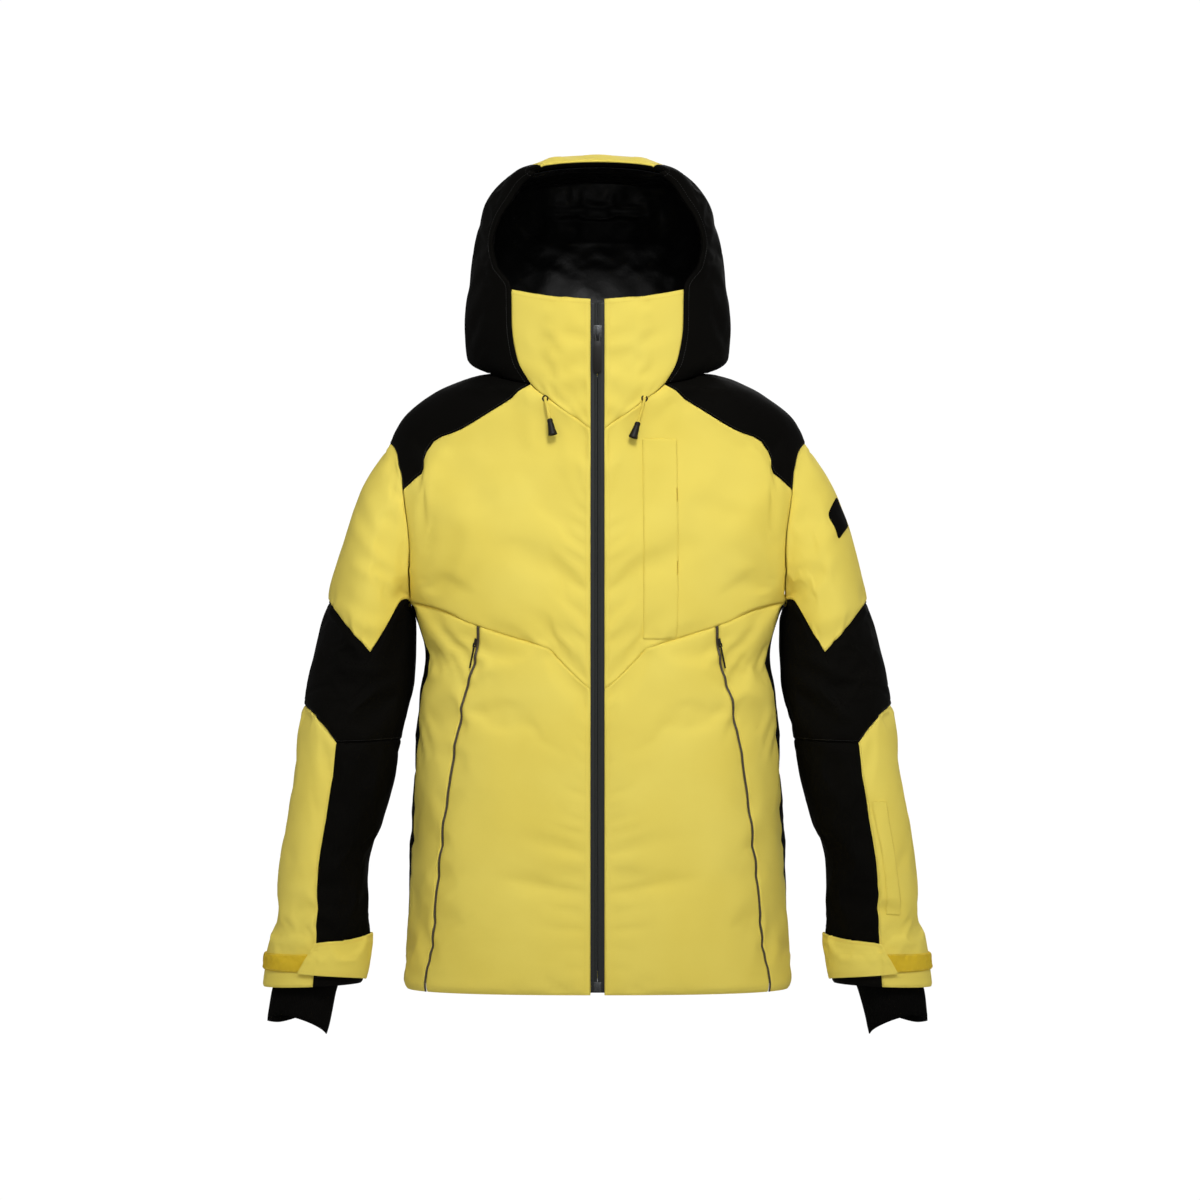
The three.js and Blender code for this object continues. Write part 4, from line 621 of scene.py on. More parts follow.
# The shell: name, surface, which way its normal turns, places, and whether it has a mirror twin.
PANELS = [
    ("front_lower", body, 1, between(straight(opening_low[0], piping[0], V_INNER), v_inner,
                                     opening_low, piping), True),
    ("front_side", body, 1, between(straight(piping[0], side_front[0], V_OUTER), v_outer,
                                    piping, side_front), True),
    ("chest", body, 1, between(joined(v_inner, v_outer), joined(neck_front, yoke_front),
                               opening_chest, arm_chest), True),
    ("shoulder_yoke", body, 1, between(yoke_front, shoulder_seam, neck_side, arm_yoke), True),
    ("side_panel", body, 1, between(straight(side_front[0], side_back[0], UNDERARM_STEPS), arm_under,
                                    side_front, side_back), True),
    ("back_yoke", body, 1, between(
        back_yoke_line, joined(shoulder_seam[::-1], nape, across_back(shoulder_seam)),
        arm_back_yoke, across_back(arm_back_yoke)), False),
    ("back_panel", body, 1, between(
        straight(side_back[0], across_back(side_back[:1])[0], 2 * YOKE_STEPS + NAPE_STEPS),
        back_yoke_line, side_of_back, across_back(side_of_back)), False),
    ("upper_sleeve", sleeve, -1, between(
        at_arm, at_upper_edge, straight((math.pi, 0), (math.pi, UNDER_T), UPPER_ROWS),
        straight((-math.pi, 0), (-math.pi, UNDER_T), UPPER_ROWS)), True),
    ("elbow_panel", sleeve, -1, between(
        at_upper_edge, joined(elbow_front, elbow_outer, elbow_back),
        straight((math.pi, UNDER_T), (math.pi, ELBOW_T), ELBOW_ROWS),
        straight((-math.pi, UNDER_T), (-math.pi, ELBOW_T), ELBOW_ROWS)), True),
    ("forearm", sleeve, -1, between(
        elbow_outer, straight(forearm_front[-1], forearm_back[-1], FOREARM_STEPS),
        forearm_front, forearm_back), True),
    ("forearm_under", sleeve, -1, between(
        under_top, straight(forearm_back[-1], (forearm_front - wrapped)[-1], len(under_top) - 1),
        forearm_back, forearm_front - wrapped), True),
    ("hood_side", hood, -1, between(
        hood_side_foot, straight(hood_centre_line[-1], hood_face_line[-1], len(hood_foot) - 1),
        hood_centre_line, hood_face_line), True),
    ("hood_center", hood, -1, np.stack([
        np.stack([np.linspace(-s, s, HOOD_CENTRE_STEPS + 1), t + np.zeros(HOOD_CENTRE_STEPS + 1)], -1)
        for s, t in hood_centre_line]), False),
    ("collar", collar, 1, collar_places, True),
]


# ---- folds ------------------------------------------------------------------------------------
rng = np.random.default_rng(7)


def wave_field(wavelength, count=14):
    """A smooth random field in space, of about unit size and the given wavelength."""
    heading = rng.normal(size=(count, 3))
    heading /= np.linalg.norm(heading, axis=1, keepdims=True)
    pitch = 2 * math.pi / (wavelength * rng.uniform(0.75, 1.4, count))
    phase = rng.uniform(0, 2 * math.pi, count)
    return lambda points: np.sin(points @ (heading * pitch[:, None]).T + phase).sum(-1) / math.sqrt(count)


broad_waves = wave_field(95)
small_waves = wave_field(34)

# Drag folds seen from the front and from behind: start x, z, end x, z, half width and height,
# for the wearer's left; the right side takes them too, a little shifted.
FRONT_FOLDS = [
    (226, -100, 231, -262, 6, -1.6), (205, -268, 158, -214, 9, 1.6), (212, -250, 180, -170, 10, 1.3),
    (240, -262, 288, -205, 8, 2.2), (236, -240, 296, -160, 9, 1.8), (238, -218, 280, -128, 9, 1.2),
    (252, -300, 318, -262, 9, 2.0), (244, -330, 318, -352, 8, 2.6), (238, -352, 312, -404, 8, 2.4),
    (240, -392, 300, -456, 9, 2.0), (262, -420, 338, -412, 9, 1.6), (256, -470, 300, -520, 9, 1.5),
    (284, -560, 352, -584, 8, 1.3), (288, -604, 368, -612, 8, 1.6), (300, -640, 372, -632, 7, 1.2),
    (216, -330, 176, -352, 10, 1.4), (212, -372, 150, -398, 12, 1.2), (196, -96, 150, -200, 18, 1.6),
    (150, -70, 104, -150, 16, 1.2), (60, -30, 26, -96, 10, 1.0), (90, -30, 70, -80, 9, 0.9),
    (206, -560, 150, -690, 16, 1.1), (40, -420, 60, -640, 22, 1.2), (110, -420, 124, -600, 20, 1.0),
    (30, 30, 66, 78, 10, 0.9), (92, 20, 40, -10, 9, 1.3), (96, 60, 60, 30, 9, 0.8)]
BACK_FOLDS = [
    (232, -100, 236, -262, 6, -1.6), (208, -262, 130, -190, 11, 2.0), (212, -240, 150, -150, 12, 1.6),
    (240, -262, 290, -200, 9, 2.0), (250, -310, 320, -280, 9, 2.0), (246, -350, 324, -372, 9, 2.6),
    (250, -400, 330, -430, 9, 2.0), (290, -580, 360, -600, 9, 1.4), (60, -40, 110, -130, 14, 1.2),
    (212, -340, 90, -362, 14, 1.8), (205, -400, 60, -392, 16, 1.5), (150, -470, 20, -456, 18, 1.2),
    (120, -600, 100, -710, 18, 1.2), (30, -560, 24, -700, 20, 1.2)]


def folds(points, normals):
    """How far the cloth stands out in folds, for points on the wearer's left (x > 0) or right."""
    x, z = points[..., 0], points[..., 2]
    total = np.zeros(x.shape)
    for rows, facing in ((FRONT_FOLDS, -1), (BACK_FOLDS, 1)):
        shows = np.clip(facing * normals[..., 1] * 2.5, 0, 1)
        for k, (x1, z1, x2, z2, wide, height) in enumerate(rows):
            for side in (1, -1):
                shift = 0 if side > 0 else 9 * math.sin(2.3 * k + 1)
                a = np.array([side * x1, z1 + shift])
                b = np.array([side * x2, z2 - shift])
                run = b - a
                reach = math.hypot(*run)
                s = ((x - a[0]) * run[0] + (z - a[1]) * run[1]) / reach**2
                d = ((x - a[0]) * run[1] - (z - a[1]) * run[0]) / reach / wide
                bend = 0.5 * np.sin(s * 5 + k)
                ends = np.clip(s + 0.15, 0, 1) * np.clip(1.15 - s, 0, 1) * 3
                total += shows * height * np.clip(ends, 0, 1) * (
                    np.exp(-(d + bend) ** 2) - 0.45 * np.exp(-(d + bend - 1.8) ** 2))
    return total


# ---- cloth simulation ---------------------------------------------------------------------------
SIM_FRAMES = 14
SIM_GROWTH = 0.022
SIM_CAP = 4.0


def grid_faces(high, wide, offset=0):
    at = np.arange(high * wide).reshape(high, wide) + offset
    return np.stack([at[:-1, :-1], at[:-1, 1:], at[1:, 1:], at[1:, :-1]], -1).reshape(-1, 4)


def simulate(grids, turns, held, growth, pressure, cap, seam_hold=0.25, bending=0.8):
    """Lets joined grids of points swell and buckle like padded cloth held at its free edges, and
    gives how far each point moved. held(points) is how firmly the outline holds each point."""
    points = np.concatenate([grid.reshape(-1, 3) for grid in grids])
    starts = np.cumsum([0] + [grid.shape[0] * grid.shape[1] for grid in grids])
    faces = []
    for grid, start, turn in zip(grids, starts, turns):
        quads = grid_faces(grid.shape[0], grid.shape[1], int(start))
        faces.append(quads if turn > 0 else quads[:, ::-1])
    mesh = bpy.data.meshes.new("cloth_block")
    mesh.from_pydata((points * MM).tolist(), [], np.concatenate(faces).tolist())
    shape = bmesh.new()
    shape.from_mesh(mesh)
    shape.verts.ensure_lookup_table()
    found = bmesh.ops.find_doubles(shape, verts=shape.verts, dist=0.1 * MM)["targetmap"]
    lead = np.arange(len(points))
    for double, target in found.items():
        lead[double.index] = target.index
    on_seam = np.zeros(len(points), bool)
    for grid, start in zip(grids, starts):
        rim = np.ones(grid.shape[:2], bool)
        rim[1:-1, 1:-1] = False
        on_seam[start:start + rim.size] = rim.ravel()
    kept = np.unique(lead)
    number = np.full(len(points), -1)
    bmesh.ops.weld_verts(shape, targetmap=found)
    shape.to_mesh(mesh)
    shape.free()
    number[kept] = np.arange(len(kept))
    block = bpy.data.objects.new("cloth_block", mesh)
    bpy.context.collection.objects.link(block)
    hold = np.maximum(np.where(on_seam, seam_hold, 0.0), held(points))
    group = block.vertex_groups.new(name="held")
    for index, weight in zip(number[kept].tolist(), hold[kept].tolist()):
        group.add([index], weight, "REPLACE")
    modifier = block.modifiers.new("cloth", "CLOTH")
    settings = modifier.settings
    settings.quality = 4
    settings.mass = 0.25
    settings.air_damping = 2.0
    settings.tension_stiffness = 20
    settings.compression_stiffness = 20
    settings.shear_stiffness = 8
    settings.bending_stiffness = bending
    settings.vertex_group_mass = "held"
    settings.pin_stiffness = 1.0
    settings.use_pressure = True
    settings.uniform_pressure_force = pressure
    settings.shrink_min = -growth
    settings.effector_weights.gravity = 0
    modifier.collision_settings.use_collision = False
    modifier.collision_settings.use_self_collision = False
    modifier.point_cache.frame_start = 1
    modifier.point_cache.frame_end = SIM_FRAMES
    scene = bpy.context.scene
    for step in range(1, SIM_FRAMES + 1):
        scene.frame_set(step)
    result = block.evaluated_get(bpy.context.evaluated_depsgraph_get()).data
    ended = np.empty(len(result.vertices) * 3)
    result.vertices.foreach_get("co", ended)
    ended = ended.reshape(-1, 3) / MM
    scene.frame_set(1)
    bpy.data.objects.remove(block)
    bpy.data.meshes.remove(mesh)
    moved = ended[number[lead]] - points
    size = np.linalg.norm(moved, axis=1, keepdims=True)
    moved *= np.tanh(size / cap) * cap / np.maximum(size, 1e-6)
    moved[~np.isfinite(moved).all(1)] = 0
    return [moved[start:start + grid.shape[0] * grid.shape[1]].reshape(grid.shape)
            for grid, start in zip(grids, starts)]


def mirror(points):
    return points * (-1, 1, 1)


def outline_hold(points):
    """The hem, the front edges, the collar's top, the brim and the cuffs are held firmly."""
    x, y, z = np.abs(points[:, 0]), points[:, 1], points[:, 2]
    on_body = x < 240
    hem = on_body & (z < HEM_Z + 2)
    edges = (x < ZIP_OPENING / 2 + 1) & (y < -80) & (z < ZIP_TOP_Z + 6)
    cuff = (x > 270) & (z < -690)
    face = (z > -2) & (x > 60) & (y < -55)
    brim = (z > 240) & (y < -88)
    return np.where(hem | edges | cuff | face | brim, 1.0, 0.0)


def shell_movements():
    """How far the cloth block of each panel moves, by panel name and side."""
    grids, turns, names = [], [], []
    for name, surface, turn, places, paired in PANELS:
        points = surface(places)
        grids.append(points)
        turns.append(turn)
        names.append((name, 1))
        if paired:
            grids.append(mirror(points))
            turns.append(-turn)
            names.append((name, -1))
    moved = simulate(grids, turns, outline_hold, SIM_GROWTH, 0.6, SIM_CAP)
    return dict(zip(names, moved))


# ---- fine sheets --------------------------------------------------------------------------------
EDGE_SHARES = (0, 0.1, 0.22, 0.36, 0.52, 0.76)


def fine_index(count, inner=2):
    """Fractional places along a row of cells: close together at both ends, inner to a cell between."""
    first = np.array(EDGE_SHARES)
    middle = np.arange(1, count - 1, 1 / inner) if count > 2 else np.array([])
    return np.concatenate([first, middle, count - first[::-1]])


def spline(values, index, axis):
    """Values between the rows of a grid, on a Catmull-Rom curve through them."""
    values = np.moveaxis(values, axis, 0)
    last = len(values) - 1
    i = np.clip(np.floor(index).astype(int), 0, last - 1)
    f = (index - i).reshape((-1,) + (1,) * (values.ndim - 1))
    p0, p1, p2, p3 = (values[np.clip(i + k, 0, last)] for k in (-1, 0, 1, 2))
    made = 0.5 * (2 * p1 + (p2 - p0) * f + (2 * p0 - 5 * p1 + 4 * p2 - p3) * f**2
                  + (3 * p1 - p0 - 3 * p2 + p3) * f**3)
    return np.moveaxis(made, 0, axis)


def linear(values, index, axis):
    values = np.moveaxis(values, axis, 0)
    i = np.clip(np.floor(index).astype(int), 0, len(values) - 2)
    f = (index - i).reshape((-1,) + (1,) * (values.ndim - 1))
    return np.moveaxis(values[i] * (1 - f) + values[i + 1] * f, 0, axis)


def grid_normals(points, turn):
    down = np.gradient(points, axis=0)
    side = np.gradient(points, axis=1)
    normals = np.cross(side, down) * turn
    return normals / np.maximum(np.linalg.norm(normals, axis=-1, keepdims=True), 1e-9)


def edge_distances(points):
    """Distances along the grid from each point to its [bottom, top, left, right] edges."""
    up = np.linalg.norm(np.diff(points, axis=0), axis=-1)
    side = np.linalg.norm(np.diff(points, axis=1), axis=-1)
    climb = np.vstack([np.zeros((1, points.shape[1])), np.cumsum(up, 0)])
    reach = np.hstack([np.zeros((points.shape[0], 1)), np.cumsum(side, 1)])
    return climb, climb[-1:] - climb, reach, reach[:, -1:] - reach


def fine_sheet(surface, places, turn, inner=2, trims=(0, 0)):
    """Fine grids of points, normals, edge distances and the indices that they were taken at.
    trims moves the left and right edges in, in millimetres."""
    rows = fine_index(places.shape[0] - 1, inner)
    columns = fine_index(places.shape[1] - 1, inner)
    if any(trims):
        width = np.linalg.norm(np.diff(surface(places), axis=1), axis=-1).mean(0)
        left, right = trims[0] / width[0], trims[1] / width[-1]
        end = places.shape[1] - 1
        columns = np.where(columns < 1, left + columns * (1 - left), columns)
        columns = np.where(columns > end - 1, end - right - (end - columns) * (1 - right), columns)
    points = surface(linear(linear(places, rows, 0), columns, 1))
    return points, grid_normals(points, turn), edge_distances(points), (rows, columns)


def rolled(distances, depth, wide):
    """How far a panel's face drops towards its sewn edges."""
    return -depth * sum(np.exp(-(d / wide) ** 2) for d in distances)


# The last finished face of each sheet, kept for the stitching on it.
FACES = {}


def build_sheet(name, points, normals, outward, thickness, material, turn):
    outer = points + normals * outward[..., None]
    shaped = grid_normals(outer, turn)
    inner = outer - shaped * thickness
    FACES[name] = (outer, shaped, edge_distances(outer))
    if turn < 0:
        outer, inner = outer[:, ::-1], inner[:, ::-1]
    return add_mesh(name, *closed_sheet(outer, inner), material)


# ---- shell panels -------------------------------------------------------------------------------
SEAM_DROP = 1.3
SEAM_WIDE = 1.7
PUFF = 1.4
PUFF_WIDE = 16.0
PIPING_EDGE = 1.35
PANEL_TRIMS = {"front_lower": (0, PIPING_EDGE), "front_side": (PIPING_EDGE, 0)}
# The panels that cross the middle in one piece, with no left and right.
ACROSS = ("back_yoke", "back_panel", "hood_center")
# How far the outside of each panel stands off its block, by its rest place.
STANDS = {}


def build_panel(name, surface, turn, places, side, moved):
    label = name if name in ACROSS else f"{name}_{'left' if side > 0 else 'right'}"
    points, normals, distances, (rows, columns) = fine_sheet(
        surface, places, turn, trims=PANEL_TRIMS.get(name, (0, 0)))
    if side < 0:
        points, normals = mirror(points), mirror(normals)
    move = spline(spline(moved, rows, 0), columns, 1)
    near = np.minimum.reduce(distances)
    inland = 1 - np.exp(-near / PUFF_WIDE)
    outward = (rolled(distances, SEAM_DROP, SEAM_WIDE) + PUFF * inland + folds(points, normals) * inland**0.5
               + 0.8 * broad_waves(points) * inland + 0.25 * small_waves(points) * inland)
    piece = build_sheet(f"{label}_cloth", points + move, normals, outward, SHELL - 0.6,
                        MATERIALS[SLOT_OF[label]], turn * side)
    STANDS[label] = (points.reshape(-1, 3), (FACES[piece.name][0] - points).reshape(-1, 3))
    finish(piece, label)


MOVED = shell_movements()
for panel, surface, turn, places, paired in PANELS:
    for side in (1, -1) if paired else (1,):
        build_panel(panel, surface, turn, places, side, MOVED[(panel, side)])


# ---- layers on top of the shell -------------------------------------------------------------------
def stand_off(points, *panels):
    """How far the shell stands off its block under each point, from the nearest places on it."""
    rest = np.concatenate([STANDS[panel][0] for panel in panels])
    stand = np.concatenate([STANDS[panel][1] for panel in panels])
    flat = points.reshape(-1, 3)
    made = np.empty_like(flat)
    for start in range(0, len(flat), 400):
        part = flat[start:start + 400]
        gap = ((part[:, None] - rest[None]) ** 2).sum(-1)
        near = np.argpartition(gap, 6, axis=1)[:, :6]
        weight = 1 / (np.take_along_axis(gap, near, 1) + 4)
        made[start:start + 400] = (stand[near] * weight[..., None]).sum(1) / weight.sum(1, keepdims=True)
    return made.reshape(points.shape)


def grid_places(firsts, seconds, swap=False):
    """Places at every pair of the given values, a row for each of the first ones."""
    first, second = np.meshgrid(firsts, seconds, indexing="ij")
    return np.stack([second, first] if swap else [first, second], -1)


def build_layer(node, surface, turn, places, side, rise, thickness, panels, roll=0.7, inner=2, extra=None):
    points, normals, distances, _ = fine_sheet(surface, places, turn, inner)
    if side < 0:
        points, normals = mirror(points), mirror(normals)
    stand = stand_off(points, *panels)
    outward = rise + rolled(distances, roll, 1.1)
    if extra is not None:
        outward = outward + extra(points, distances)
    piece = build_sheet(f"{node}_cloth", points + stand, normals, outward, thickness,
                        MATERIALS[SLOT_OF[node]], turn * side)
    return finish(piece, node)


placket_places = np.array([[on_front(x, z) for x in np.linspace(54, 95, 7)]
                           for z in np.linspace(-306, -66, 40)])
build_layer("chest_pocket_placket", body, 1, placket_places, 1, 1.5, 1.4, ["chest_left"], 1.0)
build_layer("sleeve_pocket_welt", sleeve, -1,
            grid_places(np.linspace(7.45, 9.9, 26), np.linspace(77, 59, 5) * DEG, True), 1, 1.7, 1.5,
            ["forearm_left"], 1.0)
PATCH_LEVELS = np.linspace(1.34, 1.98, 9)


PATCH_CORNER = 6
PATCH_SINK = 3.2


def round_patch(points, distances):
    """Rounds the patch's corners by sinking them."""
    x, y = np.minimum(distances[0], distances[1]), np.minimum(distances[2], distances[3])
    corner = np.hypot(np.clip(PATCH_CORNER - x, 0, PATCH_CORNER), np.clip(PATCH_CORNER - y, 0, PATCH_CORNER))
    return -PATCH_SINK * np.clip((corner - 5.6) / 1.0, 0, 1)


build_layer("sleeve_patch", sleeve, -1, grid_places(PATCH_LEVELS, np.linspace(48, 12, 9) * DEG, True), 1,
            1.2, 1.0, ["upper_sleeve_left"], 0.6, 4, round_patch)

strip_turns = np.linspace(84, -60, 40)
strip_top = curve([(-60, 10.98), (0, 11.05), (84, 11.06)])
strip_foot = curve([(-60, 11.44), (0, 11.5), (84, 11.58)])
strip_places = np.array([[(turn * DEG, strip_top(turn) + (strip_foot(turn) - strip_top(turn)) * v)
                          for turn in strip_turns] for v in np.linspace(0, 1, 5)])
flap_top = straight((184 * DEG, 10.55), (88 * DEG, 10.72), 22)
flap_foot = straight((184 * DEG, 11.9), (74 * DEG, 11.62), 22)
FLAP_ROWS = 12
flap_places = between(flap_top, flap_foot, straight(flap_top[0], flap_foot[0], FLAP_ROWS),
                      straight(flap_top[-1], flap_foot[-1], FLAP_ROWS))
FLAP_RISE = 2 * LAYER_GAP + STRIP + FLAP - 1.2


def nap(points, distances):
    """Loop tape is thick and uneven."""
    return 0.35 * small_waves(points * 6) + 0.5 * (1 - np.exp(-np.minimum.reduce(distances) / 3))


def flap_shape(points, distances):
    """The flap is sewn down at its root, swells a little inside its stitching, and lifts at its tip."""
    root, tip = distances[2], distances[3]
    near = np.minimum.reduce(distances)
    swell = 0.5 * (1 - np.exp(-((near - 4) / 2.5) ** 2) * 0.9)
    return swell + 1.6 * np.exp(-tip / 26) - 2.6 * np.exp(-root / 10)


for side, word in ((1, "left"), (-1, "right")):
    arm = [f"forearm_{word}", f"forearm_under_{word}"]
    build_layer(f"cuff_loop_strip_{word}", sleeve, -1, strip_places, side,
                LAYER_GAP + STRIP - 0.4, STRIP, arm, 0.9, 3, nap)
    build_layer(f"cuff_flap_{word}", sleeve, -1, flap_places, side,
                FLAP_RISE, FLAP - 0.4, arm, 0.8, 3, flap_shape)


# ---- wrist gaiters: a ribbed knit tube with a notched hem -----------------------------------------
GAITER_ROWS = [(336, -684, 39, 36, -37), (345, -704, 39, 37, -39), (352, -724, 39, 38, -41),
               (362, -766, 36, 37, -45)]
gaiter_x, gaiter_z, gaiter_wide, gaiter_deep, gaiter_y = (
    curve([(t, row[k]) for t, row in enumerate(GAITER_ROWS)]) for k in range(5))
gaiter_hem = curve([(-180, 3), (-120, 2.7), (-40, 3), (0, 2.95), (50, 2.72), (62, 2.7), (180, 3)])
GAITER_TIP_DROP = 14
GAITER_RIBS = 110


def gaiter(place):
    theta, t = place[..., 0], place[..., 1]
    drop = GAITER_TIP_DROP * np.clip(t - 2.2, 0, 1) / 0.8 * (0.5 - 0.5 * np.cos(theta))
    return np.stack([gaiter_x(t) + gaiter_wide(t) * np.cos(theta),
                     gaiter_y(t) - gaiter_deep(t) * np.sin(theta), gaiter_z(t) - drop], -1)


gaiter_turns = np.linspace(179.6, -179.6, 440) * DEG
gaiter_places = np.stack([np.stack([gaiter_turns, v * gaiter_hem(gaiter_turns / DEG)], -1)
                          for v in np.linspace(0, 1, 22)])
for side, word in ((1, "left"), (-1, "right")):
    points = gaiter(gaiter_places)
    normals = grid_normals(points, -1)
    if side < 0:
        points, normals = mirror(points), mirror(normals)
    ribs = 0.35 * np.cos(gaiter_turns * GAITER_RIBS)[None, :]
    outward = ribs + 0.7 * broad_waves(points * 1.6) + rolled(edge_distances(points)[:2], 0.6, 1.2)
    piece = build_sheet(f"wrist_gaiter_{word}_knit", points, normals, outward, 1.3,
                        MATERIALS["knit_black"], -side)
    finish(piece, f"wrist_gaiter_{word}")


# ---- linings ---------------------------------------------------------------------------------------
LINING_RISE = -(SHELL + LINING_ROOM)


def build_lining(node, points, normals, turn, rise, crinkle, moved=0.0):
    distances = edge_distances(points)
    near = np.minimum.reduce(distances)
    outward = rise + crinkle * (small_waves(points) + 0.5 * broad_waves(points)) * (1 - np.exp(-near / 12))
    piece = build_sheet(f"{node}_cloth", points + moved, normals, outward, LINING,
                        MATERIALS[SLOT_OF[node]], turn)
    finish(piece, node)
    return piece


def sewn_rise(distances, wide=14.0, rise=LINING_RISE, edge=-(SHELL + 0.9)):
    """A lining that comes out to meet the shell along the given edges."""
    near = np.minimum.reduce(distances)
    return edge + (rise - edge) * (1 - np.exp(-(near / wide) ** 2))


LINING_SIDE = 98 * DEG
INWARDS = 4 * DEG
LINING_BASE = HEM_Z + 10
LINING_LIFT = 5


def at_facing(z):
    return on_front(15, z)


front_lining_side = joined(
    straight((LINING_SIDE, LINING_BASE), (LINING_SIDE, UNDERARM_Z - 6), 24),
    np.vstack([[(LINING_SIDE, UNDERARM_Z - 6)], round_arm(178 * DEG, 15 * DEG, 20) - (INWARDS, 0)]))
front_lining_top = seam([at_facing(NECK_FRONT_Z - 4), on_front(58, -26), on_front(84, -14), (50 * DEG, -9),
                         (72 * DEG, -10), (84 * DEG, -30), front_lining_side[-1]], 26)
facing_line = np.array([at_facing(z)
                        for z in np.linspace(LINING_BASE, NECK_FRONT_Z - 4, len(front_lining_side))])
front_lining_places = between(straight(facing_line[0], front_lining_side[0], 26), front_lining_top,
                              facing_line, front_lining_side, LINING_LIFT)
back_lining_side = joined(
    straight((LINING_SIDE + INWARDS, LINING_BASE), (LINING_SIDE + INWARDS, UNDERARM_Z - 6), 24),
    np.vstack([[(LINING_SIDE + INWARDS, UNDERARM_Z - 6)],
               round_arm(-172 * DEG, -15 * DEG, 20) + (INWARDS, 0)]))
back_top_half = [back_lining_side[-1], (108 * DEG, -38), (128 * DEG, -20)]
back_lining_top = seam([*back_top_half, (math.pi, -12), *across_back(np.array(back_top_half))[::-1]], 52)
back_lining_places = between(straight(back_lining_side[0], across_back(back_lining_side[:1])[0], 52),
                             back_lining_top, back_lining_side, across_back(back_lining_side), LINING_LIFT)


def lining_from(node, surface, turn, places, side, crinkle, open_edges, inner=2):
    points, normals, distances, _ = fine_sheet(surface, places, turn, inner)
    if side < 0:
        points, normals = mirror(points), mirror(normals)
    rise = sewn_rise([distances[k] for k in open_edges]) if open_edges else LINING_RISE
    return build_lining(node, points, normals, turn * side, rise, crinkle)


sleeve_lining_places = between(
    straight((179 * DEG, 1.1), (-179 * DEG, 1.1), 60), straight((179 * DEG, 11.75), (-179 * DEG, 11.75), 60),
    straight((179 * DEG, 1.1), (179 * DEG, 11.75), 60), straight((-179 * DEG, 1.1), (-179 * DEG, 11.75), 60))
for side, word in ((1, "left"), (-1, "right")):
    lining_from(f"front_lining_{word}", body, 1, front_lining_places, side, 0.9, (0, 2))
    lining_from(f"sleeve_lining_{word}", sleeve, -1, sleeve_lining_places, side, 0.8, (1,))
lining_from("back_lining", body, 1, back_lining_places, 1, 0.9, (0,))

SKIRT_TOP_Z = -560
SKIRT_LENGTH = 130
skirt_levels = np.linspace(SKIRT_TOP_Z - SKIRT_LENGTH, SKIRT_TOP_Z, 26)
skirt_places = grid_places(skirt_levels, np.linspace(14, 346, 150) * DEG, True)
skirt_points = body(skirt_places)
skirt_normals = grid_normals(skirt_points, 1)
skirt_share = (SKIRT_TOP_Z - skirt_places[..., 1]) / SKIRT_LENGTH
skirt_wander = 1.5 * np.sin(skirt_places[..., 0] * 7)
gathers = 1.6 * np.sin(skirt_places[..., 0] * 46 + skirt_wander) * (0.3 + skirt_share)
build_lining("powder_skirt", skirt_points, skirt_normals, 1,
             -(SHELL + LINING_ROOM + LINING + 3.5 + 9 * skirt_share) + gathers, 0.4)

# The hood's lining is loose and crinkled: it is simulated as a cloth too big for its block.
HOOD_LINING_TOP = BRIM_T - 0.7
hood_lining_places = grid_places(np.linspace(0.25, HOOD_LINING_TOP, 62), np.linspace(-0.93, 0.93, 74), True)
hood_points = hood(hood_lining_places)
hood_normals = grid_normals(hood_points, -1)
hood_seat = hood_points + hood_normals * LINING_RISE


def lining_hold(points):
    return np.zeros(len(points))


hood_moved = simulate([hood_seat], [-1], lining_hold, 0.07, 0.05, 7.0, seam_hold=1.0, bending=0.05)[0]
fine_rows, fine_columns = fine_index(61, 2), fine_index(73, 2)
fine_places = linear(linear(hood_lining_places, fine_rows, 0), fine_columns, 1)
fine_hood = hood(fine_places)
build_lining("hood_lining", fine_hood, grid_normals(fine_hood, -1), -1, LINING_RISE - 0.6, 0.7,
             spline(spline(hood_moved, fine_rows, 0), fine_columns, 1))

# The black facing turns in from the face edge and the brim to the lining.
FACING_FOOT = COLLAR_T + 0.15


def facing_line_at(s, top):
    return joined(straight((-s, FACING_FOOT), (-s, top), 26), straight((-s, top), (s, top), 44),
                  straight((s, top), (s, FACING_FOOT), 26))


facing_outer = facing_line_at(0.995, BRIM_T - 0.03)
facing_inner = facing_line_at(0.87, BRIM_T - 0.85)
facing_places = np.stack([facing_inner * (1 - v) + facing_outer * v for v in np.linspace(0, 1, 9)])
facing_points, facing_normals, facing_distances, _ = fine_sheet(hood, facing_places, -1)
facing_rise = -(SHELL + 5.6) + 5.2 * np.exp(-facing_distances[1] / 5)
build_lining("hood_facing", facing_points, facing_normals, -1, facing_rise, 0.5)


# ---- front zip ----------------------------------------------------------------------------------------
ZIP_TILT = math.atan(FRONT_LEAN)
ZIP_FOOT_Z = HEM_Z + 3
TAPE_FACE = SHELL + 0.8
TAPE = 1.1
TAPE_WIDTH = ZIP_OPENING / 2 + 1.7
COIL_HALF = 3.2
COIL_BULGE = 1.0


def zip_place(x, y, z):
    """A place in the row frame from one across, behind and along the zip."""
    along = z / math.cos(ZIP_TILT)
    return (x, front_y(0) + y * math.cos(ZIP_TILT) + along * math.sin(ZIP_TILT),
            along * math.cos(ZIP_TILT) - y * math.sin(ZIP_TILT))


